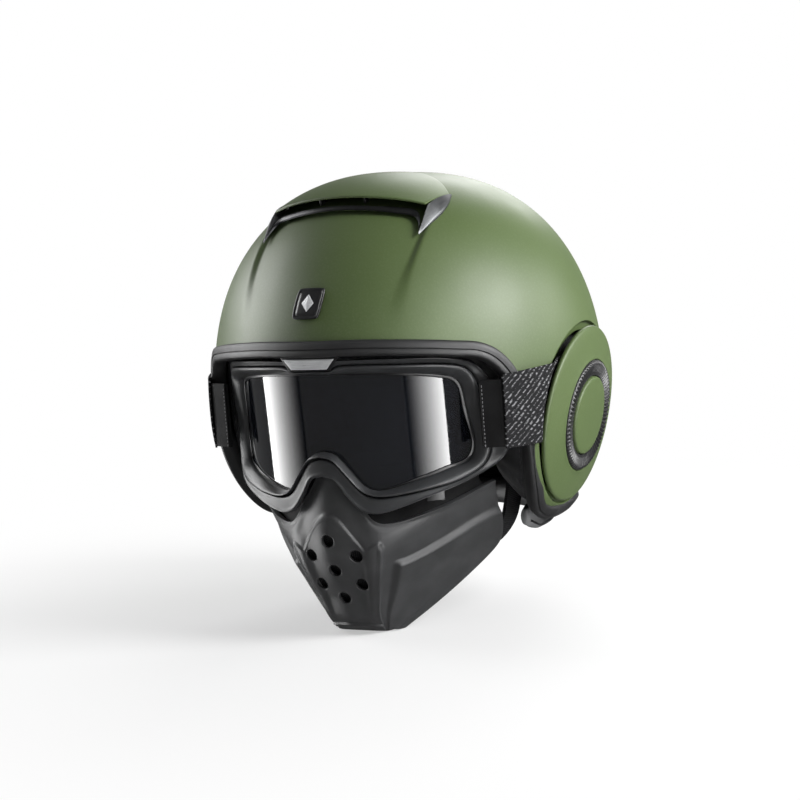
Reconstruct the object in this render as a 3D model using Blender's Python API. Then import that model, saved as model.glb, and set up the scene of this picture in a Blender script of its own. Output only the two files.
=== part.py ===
"""Open face motorcycle helmet with a goggle and a clip-on face mask.

Frame: metres, +Z up, the wearer looks along -Y and the wearer's left is +X.
The model is laid out in millimetres about the crown axis and then placed by
one empty, so that the world origin is the bottom centre of the whole helmet.
"""
from math import atan2, cos, hypot, pi, radians, sin

import bmesh
import bpy
from mathutils import Matrix, Vector

MM = 0.001

# Placing: the layout's crown axis and zero height in the world, in millimetres.
LAYOUT_Y = -4.0
LAYOUT_Z = 132.0

# Shell: a superellipsoid around the crown axis.
HALF_WIDTH = 124.0
FRONT = 134.0
BACK = 134.0
AXIS_Y = 3.0
EQUATOR = 6.0
CROWN = 140.0
TAPER = 112.0
PLAN_POWER = 1.95
SIDE_POWER = 2.3
SHELL_WALL = 4.0

# The shell's free edge, from the brow centre to the back: azimuth in degrees, height.
RIM = ((0, 46), (15, 45.8), (30, 43.5), (40, 41), (47, 38.5), (52, 32), (56, 20),
       (59.5, 0), (61.5, -20), (63.5, -38), (66.5, -53), (71, -64), (78, -70), (87, -72),
       (100, -72), (120, -72), (150, -72), (180, -72))
HALF_RIM_STEPS = 26

# Side disc: a flat cylinder frame on the ear, leaning outward at the top.
DISC_CENTRE = Vector((113.5, 9.0, -10.5))
DISC_LEAN = radians(11)
DISC_TURN = radians(2)
DISC_RADIUS = 55.5
RING_RADIUS = 35.0
CAP_RADIUS = 24.6
POCKET_DEPTH = 7.0
POCKET_RADIUS = 57.0
POCKET_RAMP = 6.0
POCKET_SLOPE = 0.08
POCKET_SLOPE_FROM = 10.0

# Liner layers, as depths below the shell's outer surface.
GAP = 0.3
TRIM_GAP = 0.8
BAND_GAP = 2.6
TRIM_LEG = 7.0
EPS_OUTER = 8.0
EPS_MARGIN = 8.0
EPS_FRONT = 27.0
EPS_SIDE = 36.0
LINER_GAP = 2.0
LINER_PADDING = 6.5
STRAP_THICKNESS = 1.1
PAD_DEPTHS = (43.5, 52.0)
STRAP_DEPTH = 40.5

# Goggles: everything is laid on an upright cylinder that leans back slightly.
LENS_RADIUS = 92.0
LENS_FRONT = -115.5
LENS_LEAN = 0.06
LENS_LEVEL = 20.0
# Three outlines from the top centre round to the bottom centre: degrees, height.
OPENING = ((0, 32), (15, 31.7), (28.7, 30.5), (45.3, 27), (53.4, 21.5), (55.6, 4),
           (57.8, -14.5), (55.1, -25), (46, -29.5), (35.5, -34), (24, -38.8),
           (18.6, -39.2), (14.3, -35.6), (9.2, -25.3), (4.6, -16.8), (0, -14.8))
BEZEL = ((0, 37.5), (15, 37.2), (29.3, 36.4), (49.8, 33.4), (57.6, 26.5), (60.9, 9),
         (63, -12), (60.2, -27.5), (50, -36.2), (38, -40), (25, -42.6), (18.5, -42.2),
         (14, -38.5), (9.2, -28.5), (4.8, -20), (0, -17.8))
FLANGE = ((0, 41), (15, 40.8), (29.5, 40), (49, 37.2), (60.5, 29.5), (67, 12), (72, -10),
          (69, -25), (55, -35.7), (37, -44.8), (25, -51), (18.5, -52.8), (13.5, -50.5),
          (9, -42), (4.8, -31.6), (0, -29.2))
LENS_MIDDLE = 8.0

# Mask: five lines from its top edge to its bottom edge, from the centre to the rear.
MASK_LINES = (
    ((0, -112.5, -25), (0, -117, -46), (0, -119, -66), (0, -113, -86), (0, -103, -106),
     (0, -96, -123), (0, -84, -132)),
    ((16, -110, -42), (17, -113, -54), (17, -114, -69), (15, -108, -88), (12, -100, -107),
     (10, -94.5, -122), (9, -84, -132)),
    ((31, -107, -60), (31.5, -108.5, -66), (30, -107.5, -76), (26, -104, -90),
     (21, -98, -106), (17.5, -93, -120), (16, -83, -132)),
    ((60, -85, -54), (57, -83, -64), (53, -78, -76), (46, -74, -89), (37, -74, -104),
     (27, -78, -119), (18, -80, -132)),
    ((83, -54, -42), (81, -48, -56), (77, -38, -70), (70, -32, -84), (54, -41, -101),
     (37, -56, -117), (19, -74, -132)))
MASK_WALL = 3.0
MASK_LIP = 2.2
MASK_ROWS = 12
MASK_COLUMNS = 8
BREATH_HOLES = ((0, -69), (0, -88), (0, -107), (15.4, -79), (-15.4, -79), (13.9, -98), (-13.9, -98))
BREATH_HOLE_RADIUS = 4.0

BLACK = (0.012, 0.012, 0.013, 1)
DARK_GREY = (0.035, 0.036, 0.038, 1)
GREEN = (0.105, 0.15, 0.055, 1)


# ---------------------------------------------------------------- meshes

def finish(name, mesh, material, centre):
    """Close a bmesh into a named object whose origin is at a layout point."""
    bmesh.ops.recalc_face_normals(mesh, faces=mesh.faces)
    bmesh.ops.translate(mesh, verts=mesh.verts, vec=-Vector(centre))
    bmesh.ops.scale(mesh, verts=mesh.verts, vec=(MM, MM, MM))
    data = bpy.data.meshes.new(name)
    mesh.to_mesh(data)
    mesh.free()
    data.shade_smooth()
    data.set_sharp_from_angle(angle=radians(35))
    data.materials.append(material)
    piece = bpy.data.objects.new(name, data)
    bpy.context.scene.collection.objects.link(piece)
    piece.parent = layout
    piece.location = Vector(centre) * MM
    return piece


def loft(name, sections, material, closed=False, centre=(0, 0, 0)):
    """A solid through matching closed sections, capped unless it runs in a ring."""
    mesh = bmesh.new()
    rings = [[mesh.verts.new(point) for point in section] for section in sections]
    pairs = list(zip(rings, rings[1:]))
    if closed:
        pairs.append((rings[-1], rings[0]))
    for ring, after in pairs:
        count = len(ring)
        for i in range(count):
            j = (i + 1) % count
            mesh.faces.new((ring[i], ring[j], after[j], after[i]))
    if not closed:
        mesh.faces.new(rings[0][::-1])
        mesh.faces.new(rings[-1])
    return finish(name, mesh, material, centre)


def slab(name, front, back, material, centre=(0, 0, 0)):
    """A solid between two grids of points of the same size."""
    mesh = bmesh.new()
    rows, columns = len(front), len(front[0])
    sheets = []
    for grid in (front, back):
        sheet = [[mesh.verts.new(point) for point in row] for row in grid]
        sheets.append(sheet)
        for r in range(rows - 1):
            for c in range(columns - 1):
                mesh.faces.new((sheet[r][c], sheet[r][c + 1], sheet[r + 1][c + 1], sheet[r + 1][c]))
    edge = [(r, 0) for r in range(rows)]
    edge += [(rows - 1, c) for c in range(1, columns)]
    edge += [(r, columns - 1) for r in range(rows - 2, -1, -1)]
    edge += [(0, c) for c in range(columns - 2, 0, -1)]
    for (r, c), (s, d) in zip(edge, edge[1:] + edge[:1]):
        mesh.faces.new((sheets[0][r][c], sheets[0][s][d], sheets[1][s][d], sheets[1][r][c]))
    return finish(name, mesh, material, centre)


def cup(name, outer, inner, material):
    """A solid between two fans: each is a pole followed by rings of points."""
    mesh = bmesh.new()
    lips = []
    for fan in (outer, inner):
        pole = mesh.verts.new(fan[0])
        rings = [[mesh.verts.new(point) for point in ring] for ring in fan[1:]]
        count = len(rings[0])
        for i in range(count):
            mesh.faces.new((pole, rings[0][i], rings[0][(i + 1) % count]))
        for ring, after in zip(rings, rings[1:]):
            for i in range(count):
                j = (i + 1) % count
                mesh.faces.new((ring[i], ring[j], after[j], after[i]))
        lips.append(rings[-1])
    count = len(lips[0])
    for i in range(count):
        j = (i + 1) % count
        mesh.faces.new((lips[0][i], lips[0][j], lips[1][j], lips[1][i]))
    return finish(name, mesh, material, (0, 0, 0))


def turned(name, profile, axis_frame, material, steps=32):
    """A solid of revolution: radius and height pairs around a frame's Z axis.

    A profile that starts and ends on the axis stays open there, any other is a closed ring.
    """
    mesh = bmesh.new()
    points = [mesh.verts.new((r, 0, h)) for r, h in profile]
    edges = [mesh.edges.new(pair) for pair in zip(points, points[1:])]
    if profile[0][0] > 0:
        edges.append(mesh.edges.new((points[-1], points[0])))
    bmesh.ops.spin(mesh, geom=points + edges, cent=(0, 0, 0), axis=(0, 0, 1), angle=2 * pi,
                   steps=steps, use_merge=True, use_duplicate=False)
    bmesh.ops.remove_doubles(mesh, verts=mesh.verts, dist=0.001)
    bmesh.ops.transform(mesh, matrix=axis_frame, verts=mesh.verts)
    return finish(name, mesh, material, (0, 0, 0))


def cut(piece, cutters):
    """Cut hidden solids out of a piece."""
    for cutter in cutters:
        cutter.hide_render = True
        cutter.display_type = 'WIRE'
        boolean = piece.modifiers.new("cut", 'BOOLEAN')
        boolean.operation = 'DIFFERENCE'
        boolean.solver = 'EXACT'
        boolean.object = cutter


def mirrored(points, side):
    """The same points for the wearer's left (1) or right (-1) side."""
    return [Vector((side * p[0], p[1], p[2])) for p in points]


def through(points, per_span):
    """A smooth line through the points, with the same number of steps between any two."""
    ends = [Vector(p) for p in points]
    ends = [2 * ends[0] - ends[1]] + ends + [2 * ends[-1] - ends[-2]]
    line = []
    for i in range(1, len(ends) - 2):
        a, b, c, d = ends[i - 1:i + 3]
        for k in range(per_span):
            t = k / per_span
            line.append(0.5 * (2 * b + (c - a) * t + (2 * a - 5 * b + 4 * c - d) * t * t
                               + (3 * b - a - 3 * c + d) * t ** 3))
    return line + [ends[-2]]


def curve(points, steps):
    """A smooth line through the points, sampled evenly in steps along its length."""
    dense = through(points, 8)
    lengths = [0.0]
    for a, b in zip(dense, dense[1:]):
        lengths.append(lengths[-1] + (b - a).length)
    even, i = [], 0
    for k in range(steps + 1):
        target = lengths[-1] * k / steps
        while i < len(dense) - 2 and lengths[i + 1] < target:
            i += 1
        t = (target - lengths[i]) / (lengths[i + 1] - lengths[i])
        even.append(dense[i].lerp(dense[i + 1], min(1.0, t)))
    return even


# ---------------------------------------------------------------- the skin

def plan_radius(azimuth):
    """The shell's radius at its equator; azimuth 0 is the brow, positive is left."""
    across = abs(sin(azimuth)) / HALF_WIDTH
    along = abs(cos(azimuth)) / (FRONT if cos(azimuth) > 0 else BACK)
    return (across ** PLAN_POWER + along ** PLAN_POWER) ** (-1 / PLAN_POWER)


def polar_at(azimuth, z):
    """The angle from the crown axis of the skin point at a height."""
    rise = abs(z - EQUATOR) / (CROWN if z > EQUATOR else TAPER)
    level = (1 - rise ** SIDE_POWER) ** (1 / SIDE_POWER)
    return atan2(plan_radius(azimuth) * level, z - EQUATOR)


def egg(azimuth, polar):
    """The plain outer surface, before the ear pockets."""
    flat = sin(polar) / plan_radius(azimuth)
    tall = abs(cos(polar)) / (CROWN if cos(polar) > 0 else TAPER)
    reach = (abs(flat) ** SIDE_POWER + tall ** SIDE_POWER) ** (-1 / SIDE_POWER)
    return Vector((reach * sin(polar) * sin(azimuth), AXIS_Y - reach * sin(polar) * cos(azimuth),
                   EQUATOR + reach * cos(polar)))


def disc_frame(side):
    """Disc centre and directions; local Z points out of the ear."""
    centre = Vector((side * DISC_CENTRE.x, DISC_CENTRE.y, DISC_CENTRE.z))
    turn = Matrix.Rotation(side * DISC_TURN, 4, 'Z')
    return Matrix.Translation(centre) @ turn @ Matrix.Rotation(side * (pi / 2 + DISC_LEAN), 4, 'Y')


def pocketed(azimuth, polar, margin=0.0):
    """The outer surface with the pocket under each disc, widened by a margin."""
    point = egg(azimuth, polar)
    frame = disc_frame(1 if point.x > 0 else -1)
    local = frame.inverted() @ point
    ramp = max(0.0, hypot(local.x, local.y) - POCKET_RADIUS - margin) / POCKET_RAMP
    below = -local.x if point.x < 0 else local.x
    rise = POCKET_SLOPE * max(0.0, below - POCKET_SLOPE_FROM)
    local.z = min(local.z, 12 * ramp * ramp - POCKET_DEPTH + rise)
    return frame @ local


def wide_pocketed(azimuth, polar):
    """The same surface with wider pockets, for the foam that has to clear the shell."""
    return pocketed(azimuth, polar, EPS_MARGIN)


def skin(azimuth, polar, depth=0.0, surface=pocketed):
    """A point at a depth below a surface, measured square to the plain egg shape."""
    step = 0.02
    here = surface(azimuth, polar)
    if polar < step:
        return here - Vector((0, 0, depth))
    across = egg(azimuth + step, polar) - egg(azimuth - step, polar)
    down = egg(azimuth, polar + step) - egg(azimuth, polar - step)
    return here - down.cross(across).normalized() * depth


def skin_over(x, y, depth=0.0):
    """The skin point in the direction seen from above, for the crown."""
    azimuth = atan2(x, AXIS_Y - y)
    share = min(1.0, hypot(x, y - AXIS_Y) / plan_radius(azimuth))
    rise = (1 - share ** SIDE_POWER) ** (1 / SIDE_POWER)
    polar = atan2(hypot(x, y - AXIS_Y), CROWN * rise)
    return skin(azimuth, polar, depth)


def rim_angles():
    """Azimuth and polar angle along the whole free edge, from the brow centre."""
    table = curve([(radians(a) * 115, z, 0) for a, z in RIM], HALF_RIM_STEPS)
    half = [(p.x / 115, polar_at(p.x / 115, p.y)) for p in table]
    return half + [(-a, p) for a, p in half[-2:0:-1]]


def rim_frames(angles):
    """Point, outward normal and edgeward direction at each place on the free edge."""
    points = [skin(a, p) for a, p in angles]
    frames = []
    for i, (azimuth, polar) in enumerate(angles):
        normal = (skin(azimuth, polar, -1) - points[i]).normalized()
        along = (points[(i + 1) % len(points)] - points[i - 1]).normalized()
        frames.append((points[i], normal, along.cross(normal).normalized()))
    return frames


def inset(angles, distance):
    """The free edge's angles moved back over the skin by a distance."""
    moved = []
    for point, normal, edgeward in rim_frames(angles):
        place = point - edgeward * distance
        azimuth = atan2(place.x, AXIS_Y - place.y)
        moved.append((azimuth, atan2(hypot(place.x, place.y - AXIS_Y), place.z - EQUATOR)))
    return moved


def fan(angles, rows, place):
    """Crown point and rings of points down to the given edge, placed by a function."""
    rings = [[place(a, p * k / rows) for a, p in angles] for k in range(1, rows + 1)]
    return [place(0, 0)] + rings


# ---------------------------------------------------------------- shell and liners

def inside(extra):
    """A function for points on the foam liner's inner surface, or deeper by an extra."""
    def place(azimuth, polar):
        thicker = (EPS_SIDE - EPS_FRONT) * sin(polar) * sin(azimuth) ** 2
        return skin(azimuth, polar, EPS_FRONT + thicker + extra, egg)
    return place


def make_outer_shell():
    """The moulded shell; its last ring of faces is the band that the trim grips."""
    rim = rim_angles()
    band = inset(rim, TRIM_LEG)
    sheets = []
    for depth in (0, SHELL_WALL):
        sheet = fan(band, 9, lambda a, p: skin(a, p, depth))
        sheets.append(sheet + [[skin(a, p, depth) for a, p in rim]])
    cup("outer_shell", sheets[0], sheets[1], green)


def make_liners():
    rim = rim_angles()
    eps_edge = inset(rim, 14)
    outside = fan(eps_edge, 8, lambda a, p: skin(a, p, EPS_OUTER, wide_pocketed))
    cup("eps_liner", outside, fan(eps_edge, 8, inside(0)), foam)
    lowest = 18.0
    cloth_edge = []
    for azimuth, polar in inset(rim, 18):
        cloth_edge.append((azimuth, min(polar, polar_at(azimuth, lowest))))
    cup("comfort_liner", fan(cloth_edge, 6, inside(LINER_GAP)),
        fan(cloth_edge, 6, inside(LINER_GAP + LINER_PADDING)), fabric)


def skin_patch(name, azimuths, heights, depths, material, rows, columns):
    """A pad that follows the skin between two azimuths and two heights."""
    grids = []
    for depth in depths:
        grid = []
        for r in range(rows + 1):
            z = heights[0] + (heights[1] - heights[0]) * r / rows
            row = []
            for c in range(columns + 1):
                azimuth = radians(azimuths[0] + (azimuths[1] - azimuths[0]) * c / columns)
                row.append(skin(azimuth, polar_at(azimuth, z), depth, egg))
            grid.append(row)
        grids.append(grid)
    return slab(name, grids[0], grids[1], material)


def make_pads(side, label):
    skin_patch("cheek_pad_" + label, (side * 80, side * 112), (2, -44), PAD_DEPTHS, fabric, 3, 3)


def make_neck_roll():
    """A padded roll inside the lower edge, from one ear lobe round the back to the other."""
    reach = 100
    level = -66
    sections = []
    for k in range(21):
        azimuth = radians(180 + reach * (k / 10 - 1))
        edge = egg(azimuth, polar_at(azimuth, level))
        inward = Vector((-edge.x, AXIS_Y - edge.y, 0)).normalized()
        sections.append([edge + inward * deep + Vector((0, 0, z - level))
                         for deep, z in ((17, -65), (16, -75), (15, -81), (18, -85), (25, -84),
                                         (29, -77), (29, -67), (22, -63))])
    loft("neck_roll", sections, leather)


def make_edge_trim():
    """Rubber channel pushed over the shell's free edge."""
    at_edge = ((1.9, 0), (1.6, 1.8), (0.4, 2.6), (-4.8, 2.6), (-6.6, 1.6))
    slot = ((-SHELL_WALL - TRIM_GAP, GAP), (TRIM_GAP, GAP))
    rim = rim_angles()
    band = inset(rim, TRIM_LEG)
    sections = []
    for (point, normal, edgeward), (azimuth, polar) in zip(rim_frames(rim), band):
        section = [skin(azimuth, polar, -out) for out in (BAND_GAP, 3.1)]
        section += [point + normal * out + edgeward * down for out, down in at_edge]
        section += [skin(azimuth, polar, SHELL_WALL + deep) for deep in (3.0, BAND_GAP)]
        section += [point + normal * out + edgeward * down for out, down in slot]
        sections.append(section)
    loft("edge_trim", sections, rubber, closed=True)


# ---------------------------------------------------------------- vents and badge

VENT_HALF = 50.0
VENT_FRONT = -70.0
VENT_CORNER = -59.0
VENT_BACK = -12.0
VENT_RISE = 5.0
BADGE_X = 0.0


def vent_lip(x):
    """How far forward the intake's lip reaches at a distance from the centre."""
    return VENT_FRONT + (VENT_CORNER - VENT_FRONT) * (x / VENT_HALF) ** 2


def make_vent_cover():
    rows, columns = 6, 12
    top, under = [], []
    for r in range(rows + 1):
        back = r / rows
        top.append([])
        under.append([])
        for c in range(columns + 1):
            x = VENT_HALF * (2 * c / columns - 1) * (1 - 0.35 * back * back)
            y = vent_lip(x) + (VENT_BACK - vent_lip(x)) * back
            lift = VENT_RISE * (1 - back) ** 0.8
            top[-1].append(skin_over(x, y, -2.0 - lift))
            under[-1].append(skin_over(x, y, -GAP - lift))
    slab("vent_cover", top, under, green)


def make_vent_intake():
    """The dark wall under the cover's lip, with the air slot in its middle."""
    columns = 12
    top, under = [], []
    for set_back, lift in ((4, VENT_RISE - 1.6), (12, VENT_RISE - 3.2)):
        top.append([])
        under.append([])
        for c in range(columns + 1):
            x = 44 * (2 * c / columns - 1)
            y = vent_lip(x) + set_back
            top[-1].append(skin_over(x, y, -lift))
            under[-1].append(skin_over(x, y, -GAP))
    wall = slab("vent_intake", top, under, plastic)
    middle = skin_over(0, VENT_FRONT + 8, -2.4)
    slope = atan2(skin_over(0, VENT_FRONT + 14).z - skin_over(0, VENT_FRONT + 2).z, 12)
    slot = box_at("vent_slot_cutter", middle, (30, 40, 2.4), Matrix.Rotation(slope, 3, 'X'), plastic)
    cut(wall, [slot])


def box_at(name, middle, size, turn, material, centre=(0, 0, 0)):
    """A rectangular block given by its middle, size and rotation."""
    half = Vector(size) / 2
    section = ((-half.x, -half.z), (half.x, -half.z), (half.x, half.z), (-half.x, half.z))
    ends = [[middle + turn @ Vector((x, y, z)) for x, z in section] for y in (-half.y, half.y)]
    return loft(name, ends, material, centre=centre)


def make_vent_shutter():
    """A sliding plug behind the slot; it closes the vent by moving forward and down."""
    slope = atan2(skin_over(0, VENT_FRONT + 14).z - skin_over(0, VENT_FRONT + 2).z, 12)
    middle = skin_over(0, VENT_FRONT + 20, -1.9)
    turn = Matrix.Rotation(slope * 0.8, 3, 'X')
    box_at("vent_shutter", middle, (24, 6, 1.2), turn, plastic, centre=middle)


def make_vent_wing(side, label):
    """A crescent of brushed metal round each end of the intake."""
    outline = curve([(56, -34, 0), (58, -50, 0), (57, -64, 0), (54, -77, 0)], 8)
    top, under = [], []
    for k, place in enumerate(outline):
        share = k / 8
        width = 5.5 * (1 - share) + 1.5
        inner = max(place.x - width, VENT_HALF + 0.8)
        top.append([])
        under.append([])
        for x in (inner, place.x):
            top[-1].append(skin_over(side * x, place.y, -1.8 - 3.5 * (1 - share)))
            under[-1].append(skin_over(side * x, place.y, -GAP))
    slab("vent_wing_" + label, top, under, metal)


def make_rear_exhaust():
    """Low extractor pod at the back that lets the crown air out."""
    skin_patch("rear_exhaust", (158, 202), (66, 50), (-GAP, -4.5), plastic, 2, 8)


def make_badge():
    """A blank badge on the forehead with a plain diamond."""
    grids = []
    for depth in (-GAP, -2.2):
        grid = []
        for z in (66, 74.5, 83):
            lean = (z - 74.5) * 0.03
            grid.append([skin_on_front(BADGE_X + x + lean, z, depth) for x in (-9, 0, 9)])
        grids.append(grid)
    slab("badge_plate", grids[0], grids[1], plastic)
    middle = skin_on_front(BADGE_X, 74.5, -3.2)
    ahead = (skin_on_front(BADGE_X, 74.5, -4.2) - middle).normalized()
    up = ahead.cross(Vector((1, 0, 0))).normalized()
    if up.z < 0:
        up = -up
    corners = ((0, 5.5), (4, 0), (0, -5.5), (-4, 0))
    ends = [[middle + Vector((x, 0, 0)) + up * z + ahead * h for x, z in corners]
            for h in (-0.7, 0.7)]
    loft("badge_emblem", ends, metal)


def skin_on_front(x, z, depth=0.0):
    """The skin point in front at a sideways distance and height."""
    azimuth = 0.0
    for _ in range(6):
        reach = skin(azimuth, polar_at(azimuth, z), depth)
        azimuth += (x - reach.x) / max(60.0, -reach.y)
    return skin(azimuth, polar_at(azimuth, z), depth)


# ---------------------------------------------------------------- ear discs and goggle strap

def make_disc(side, label):
    """The round cover over the strap's end, with its ribbed ring, cap, screw and boss."""
    frame = disc_frame(side)
    turned("side_disc_" + label,
           ((4.2, -2.6), (51, -2.6), (DISC_RADIUS, -0.8), (DISC_RADIUS, 0.2), (54.5, 0.8),
            (47, 3.6), (RING_RADIUS + GAP, 6.4), (RING_RADIUS + GAP, 3.0), (4.2, 3.0)),
           frame, green)
    turned("ribbed_ring_" + label,
           ((CAP_RADIUS + 2 * GAP, 3.3), (RING_RADIUS, 3.3), (RING_RADIUS, 7.0), (34, 7.6),
            (CAP_RADIUS + 2 * GAP, 7.0)), frame, plastic)
    turned("centre_cap_" + label,
           ((6.5, 3.3), (CAP_RADIUS, 3.3), (CAP_RADIUS, 7.8), (23.8, 8.6), (12, 9.3), (0, 9.5),
            (0, 7.0), (6.5, 7.0)), frame, green)
    turned("disc_screw_" + label,
           ((0, -5.7), (3.5, -5.7), (3.5, 3.3), (6.0, 3.3), (6.0, 6.4), (0, 6.4)),
           frame, metal, 16)
    turned("disc_boss_" + label,
           ((4.2, -5.7), (13, -5.7), (13, -2.9), (4.2, -2.9)), frame, plastic, 24)


def make_goggle_strap(side, label):
    """Elastic band from beside the goggle clip, over the trim and under the ear disc."""
    start, end, steps = 55.5, 80.0, 10
    over_trim, under_disc = 3.4, -5.5
    tuck_from, tuck_to = 60.0, 52.0
    frame = disc_frame(side)
    under, top = [], []
    for k in range(steps + 1):
        azimuth = side * radians(start + (end - start) * k / steps)
        under.append([])
        top.append([])
        for z in (25, 10, -4, -18):
            local = frame.inverted() @ skin(azimuth, polar_at(azimuth, z), -over_trim, egg)
            share = (hypot(local.x, local.y) - tuck_to) / (tuck_from - tuck_to)
            share = min(1.0, max(0.0, share))
            local.z = under_disc + (local.z - under_disc) * share
            under[-1].append(frame @ local)
            local.z += STRAP_THICKNESS
            top[-1].append(frame @ local)
    slab("goggle_strap_" + label, under, top, webbing)


# ---------------------------------------------------------------- goggles

def on_cylinder(degrees_round, z, radius):
    """A point on the goggle's cylinder."""
    turn = radians(degrees_round)
    axis = LENS_FRONT + LENS_RADIUS + LENS_LEAN * (LENS_LEVEL - z)
    return Vector((radius * sin(turn), axis - radius * cos(turn), z))


def outline(share, steps=22):
    """A closed outline: 0 is the opening, 1 the bezel's edge, 2 the flange's edge."""
    low, high = (OPENING, BEZEL) if share <= 1 else (BEZEL, FLANGE)
    part = share if share <= 1 else share - 1
    table = []
    for (a, z), (b, w) in zip(low, high):
        table.append((1.6 * (a + (b - a) * part), z + (w - z) * part, 0))
    half = [(p.x / 1.6, p.y) for p in curve(table, steps)]
    return half + [(-a, z) for a, z in half[-2:0:-1]]


def goggle_ring(name, corners, material):
    """A ring round the goggle through corners given as outline share and radius."""
    rings = [[on_cylinder(a, z, radius) for a, z in outline(share)] for share, radius in corners]
    loft(name, [list(section) for section in zip(*rings)], material, closed=True)


def make_goggles():
    goggle_ring("goggle_frame", ((2.0, 100), (1.05, 97.6), (1.05, 88), (1.35, 88), (1.35, 94.5),
                                 (2.0, 97.4)), dark_plastic)
    goggle_ring("goggle_bezel", ((0.93, 97.4), (0.05, 94), (0.05, 92.9), (0.93, 92.9)), dark_plastic)
    goggle_ring("face_foam", ((1.0, 87.6), (1.35, 87.6), (1.35, 72), (1.0, 72)), foam_black)
    rows = 5
    fans = []
    for radius in (92.6, 90.8):
        rings = []
        for k in range(1, rows + 1):
            t = k / rows
            rings.append([on_cylinder(a * t, LENS_MIDDLE + (z - LENS_MIDDLE) * t, radius)
                          for a, z in outline(0.8)])
        fans.append([on_cylinder(0, LENS_MIDDLE, radius)] + rings)
    cup("goggle_lens", fans[0], fans[1], smoke)


def make_nameplate():
    """A blank silver plate at the top of the goggle."""
    grids = []
    for radius in (100.4, 101.8):
        grid = []
        for z, reach in ((35.8, 6.8), (39, 8.6), (42.4, 10)):
            grid.append([on_cylinder(reach * s, z, radius) for s in (-1, -0.5, 0, 0.5, 1)])
        grids.append(grid)
    slab("nameplate", grids[0], grids[1], metal)


def make_strap_clip(side, label):
    """A flat block on the goggle's side that the elastic band hooks on to."""
    half = 1.3
    sections = []
    for x, y, facing in ((90.5, -77.5, 30), (97, -75.7, 30), (102.5, -73.2, 40)):
        out = Vector((sin(radians(facing)), -cos(radians(facing)), 0))
        section = [Vector((x, y, z)) + out * h
                   for h, z in ((-half, -18), (half, -18), (half, 22), (-half, 22))]
        sections.append(mirrored(section, side))
    loft("strap_clip_" + label, sections, plastic)


# ---------------------------------------------------------------- mask

def mask_grid():
    """Points over the whole mask, from its right rear edge to its left rear edge."""
    lines = [curve(line, MASK_ROWS) for line in MASK_LINES]
    grid = []
    for r in range(MASK_ROWS + 1):
        half = through([line[r] for line in lines], MASK_COLUMNS // 4)
        grid.append(mirrored(half[:0:-1], -1) + half)
    return grid


def grid_normals(grid):
    """Outward normals of the mask grid."""
    rows, columns = len(grid), len(grid[0])
    normals = []
    for r in range(rows):
        normals.append([])
        for c in range(columns):
            down = grid[min(r + 1, rows - 1)][c] - grid[max(r - 1, 0)][c]
            across = grid[r][min(c + 1, columns - 1)] - grid[r][max(c - 1, 0)]
            normals[-1].append(down.cross(across).normalized())
    return normals


def mask_layer(depth, rows, columns):
    """Part of the mask grid moved inward by a depth, flat along the bottom edge."""
    grid = mask_grid()
    normals = grid_normals(grid)
    layer = []
    for r in rows:
        layer.append([])
        for c in columns:
            place = grid[r][c] - normals[r][c] * depth
            if r == MASK_ROWS:
                place = grid[r][c] + Vector((0, MASK_LIP * depth, 0))
            layer[-1].append(place)
    return layer


def make_mask():
    everywhere = range(MASK_ROWS + 1), range(2 * MASK_COLUMNS + 1)
    shell = slab("mask_shell", mask_layer(0, *everywhere), mask_layer(MASK_WALL, *everywhere),
                 dark_plastic)
    window = [[Vector((x, y, z)) for x, z in ((-10, -62), (10, -62), (21, -77), (12, -113),
                                              (-12, -113), (-21, -77))]
              for y in (-140, -80)]
    cut(shell, [loft("mask_window_cutter", window, plastic)])

    middle = MASK_COLUMNS
    panel_area = range(3, MASK_ROWS), range(middle - 4, middle + 5)
    panel = slab("mask_front_panel", mask_layer(-2.2, *panel_area), mask_layer(-0.6, *panel_area),
                 dark_plastic)
    holes = []
    for k, (x, z) in enumerate(BREATH_HOLES):
        frame = Matrix.Translation((x, -110, z)) @ Matrix.Rotation(pi / 2, 4, 'X')
        holes.append(turned("breath_cutter_%d" % k,
                            ((0, -30), (BREATH_HOLE_RADIUS, -30), (BREATH_HOLE_RADIUS, 30),
                             (0, 30)), frame, plastic, 14))
    cut(panel, holes)

    mesh_area = range(3, MASK_ROWS - 1), range(middle - 3, middle + 4)
    slab("mask_mesh", mask_layer(MASK_WALL + 0.6, *mesh_area),
         mask_layer(MASK_WALL + 1.6, *mesh_area), foam_black)
    pad_area = range(1, 3), range(middle - 1, middle + 2)
    slab("mask_nose_pad", mask_layer(MASK_WALL + 0.6, *pad_area),
         mask_layer(MASK_WALL + 4, *pad_area), foam_black)


def make_mask_clip(side, label):
    """A hook behind the mask's wing that holds it to the goggle's lower edge."""
    middle = Vector((side * 54, -78, -51))
    turn = Matrix.Rotation(side * radians(38), 3, 'Z')
    box_at("mask_clip_" + label, middle, (12, 3, 14), turn, plastic)


# ---------------------------------------------------------------- chin strap

STRAP_HALF = 11.0
BUCKLE_MIDDLE = Vector((32, -21, -101))


def web(name, places, half_widths, thickness, material):
    """A flat band along places, its width running fore and aft."""
    sections = []
    for k, place in enumerate(places):
        along = (places[min(k + 1, len(places) - 1)] - places[max(k - 1, 0)]).normalized()
        wide = (Vector((0, 1, 0)) - along * along.y).normalized()
        thick = along.cross(wide)
        half = half_widths[k]
        sections.append([place + wide * (half * w) + thick * (thickness * t / 2)
                         for w, t in ((-1, -1), (1, -1), (1, 1), (-1, 1))])
    loft(name, sections, material)


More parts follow.
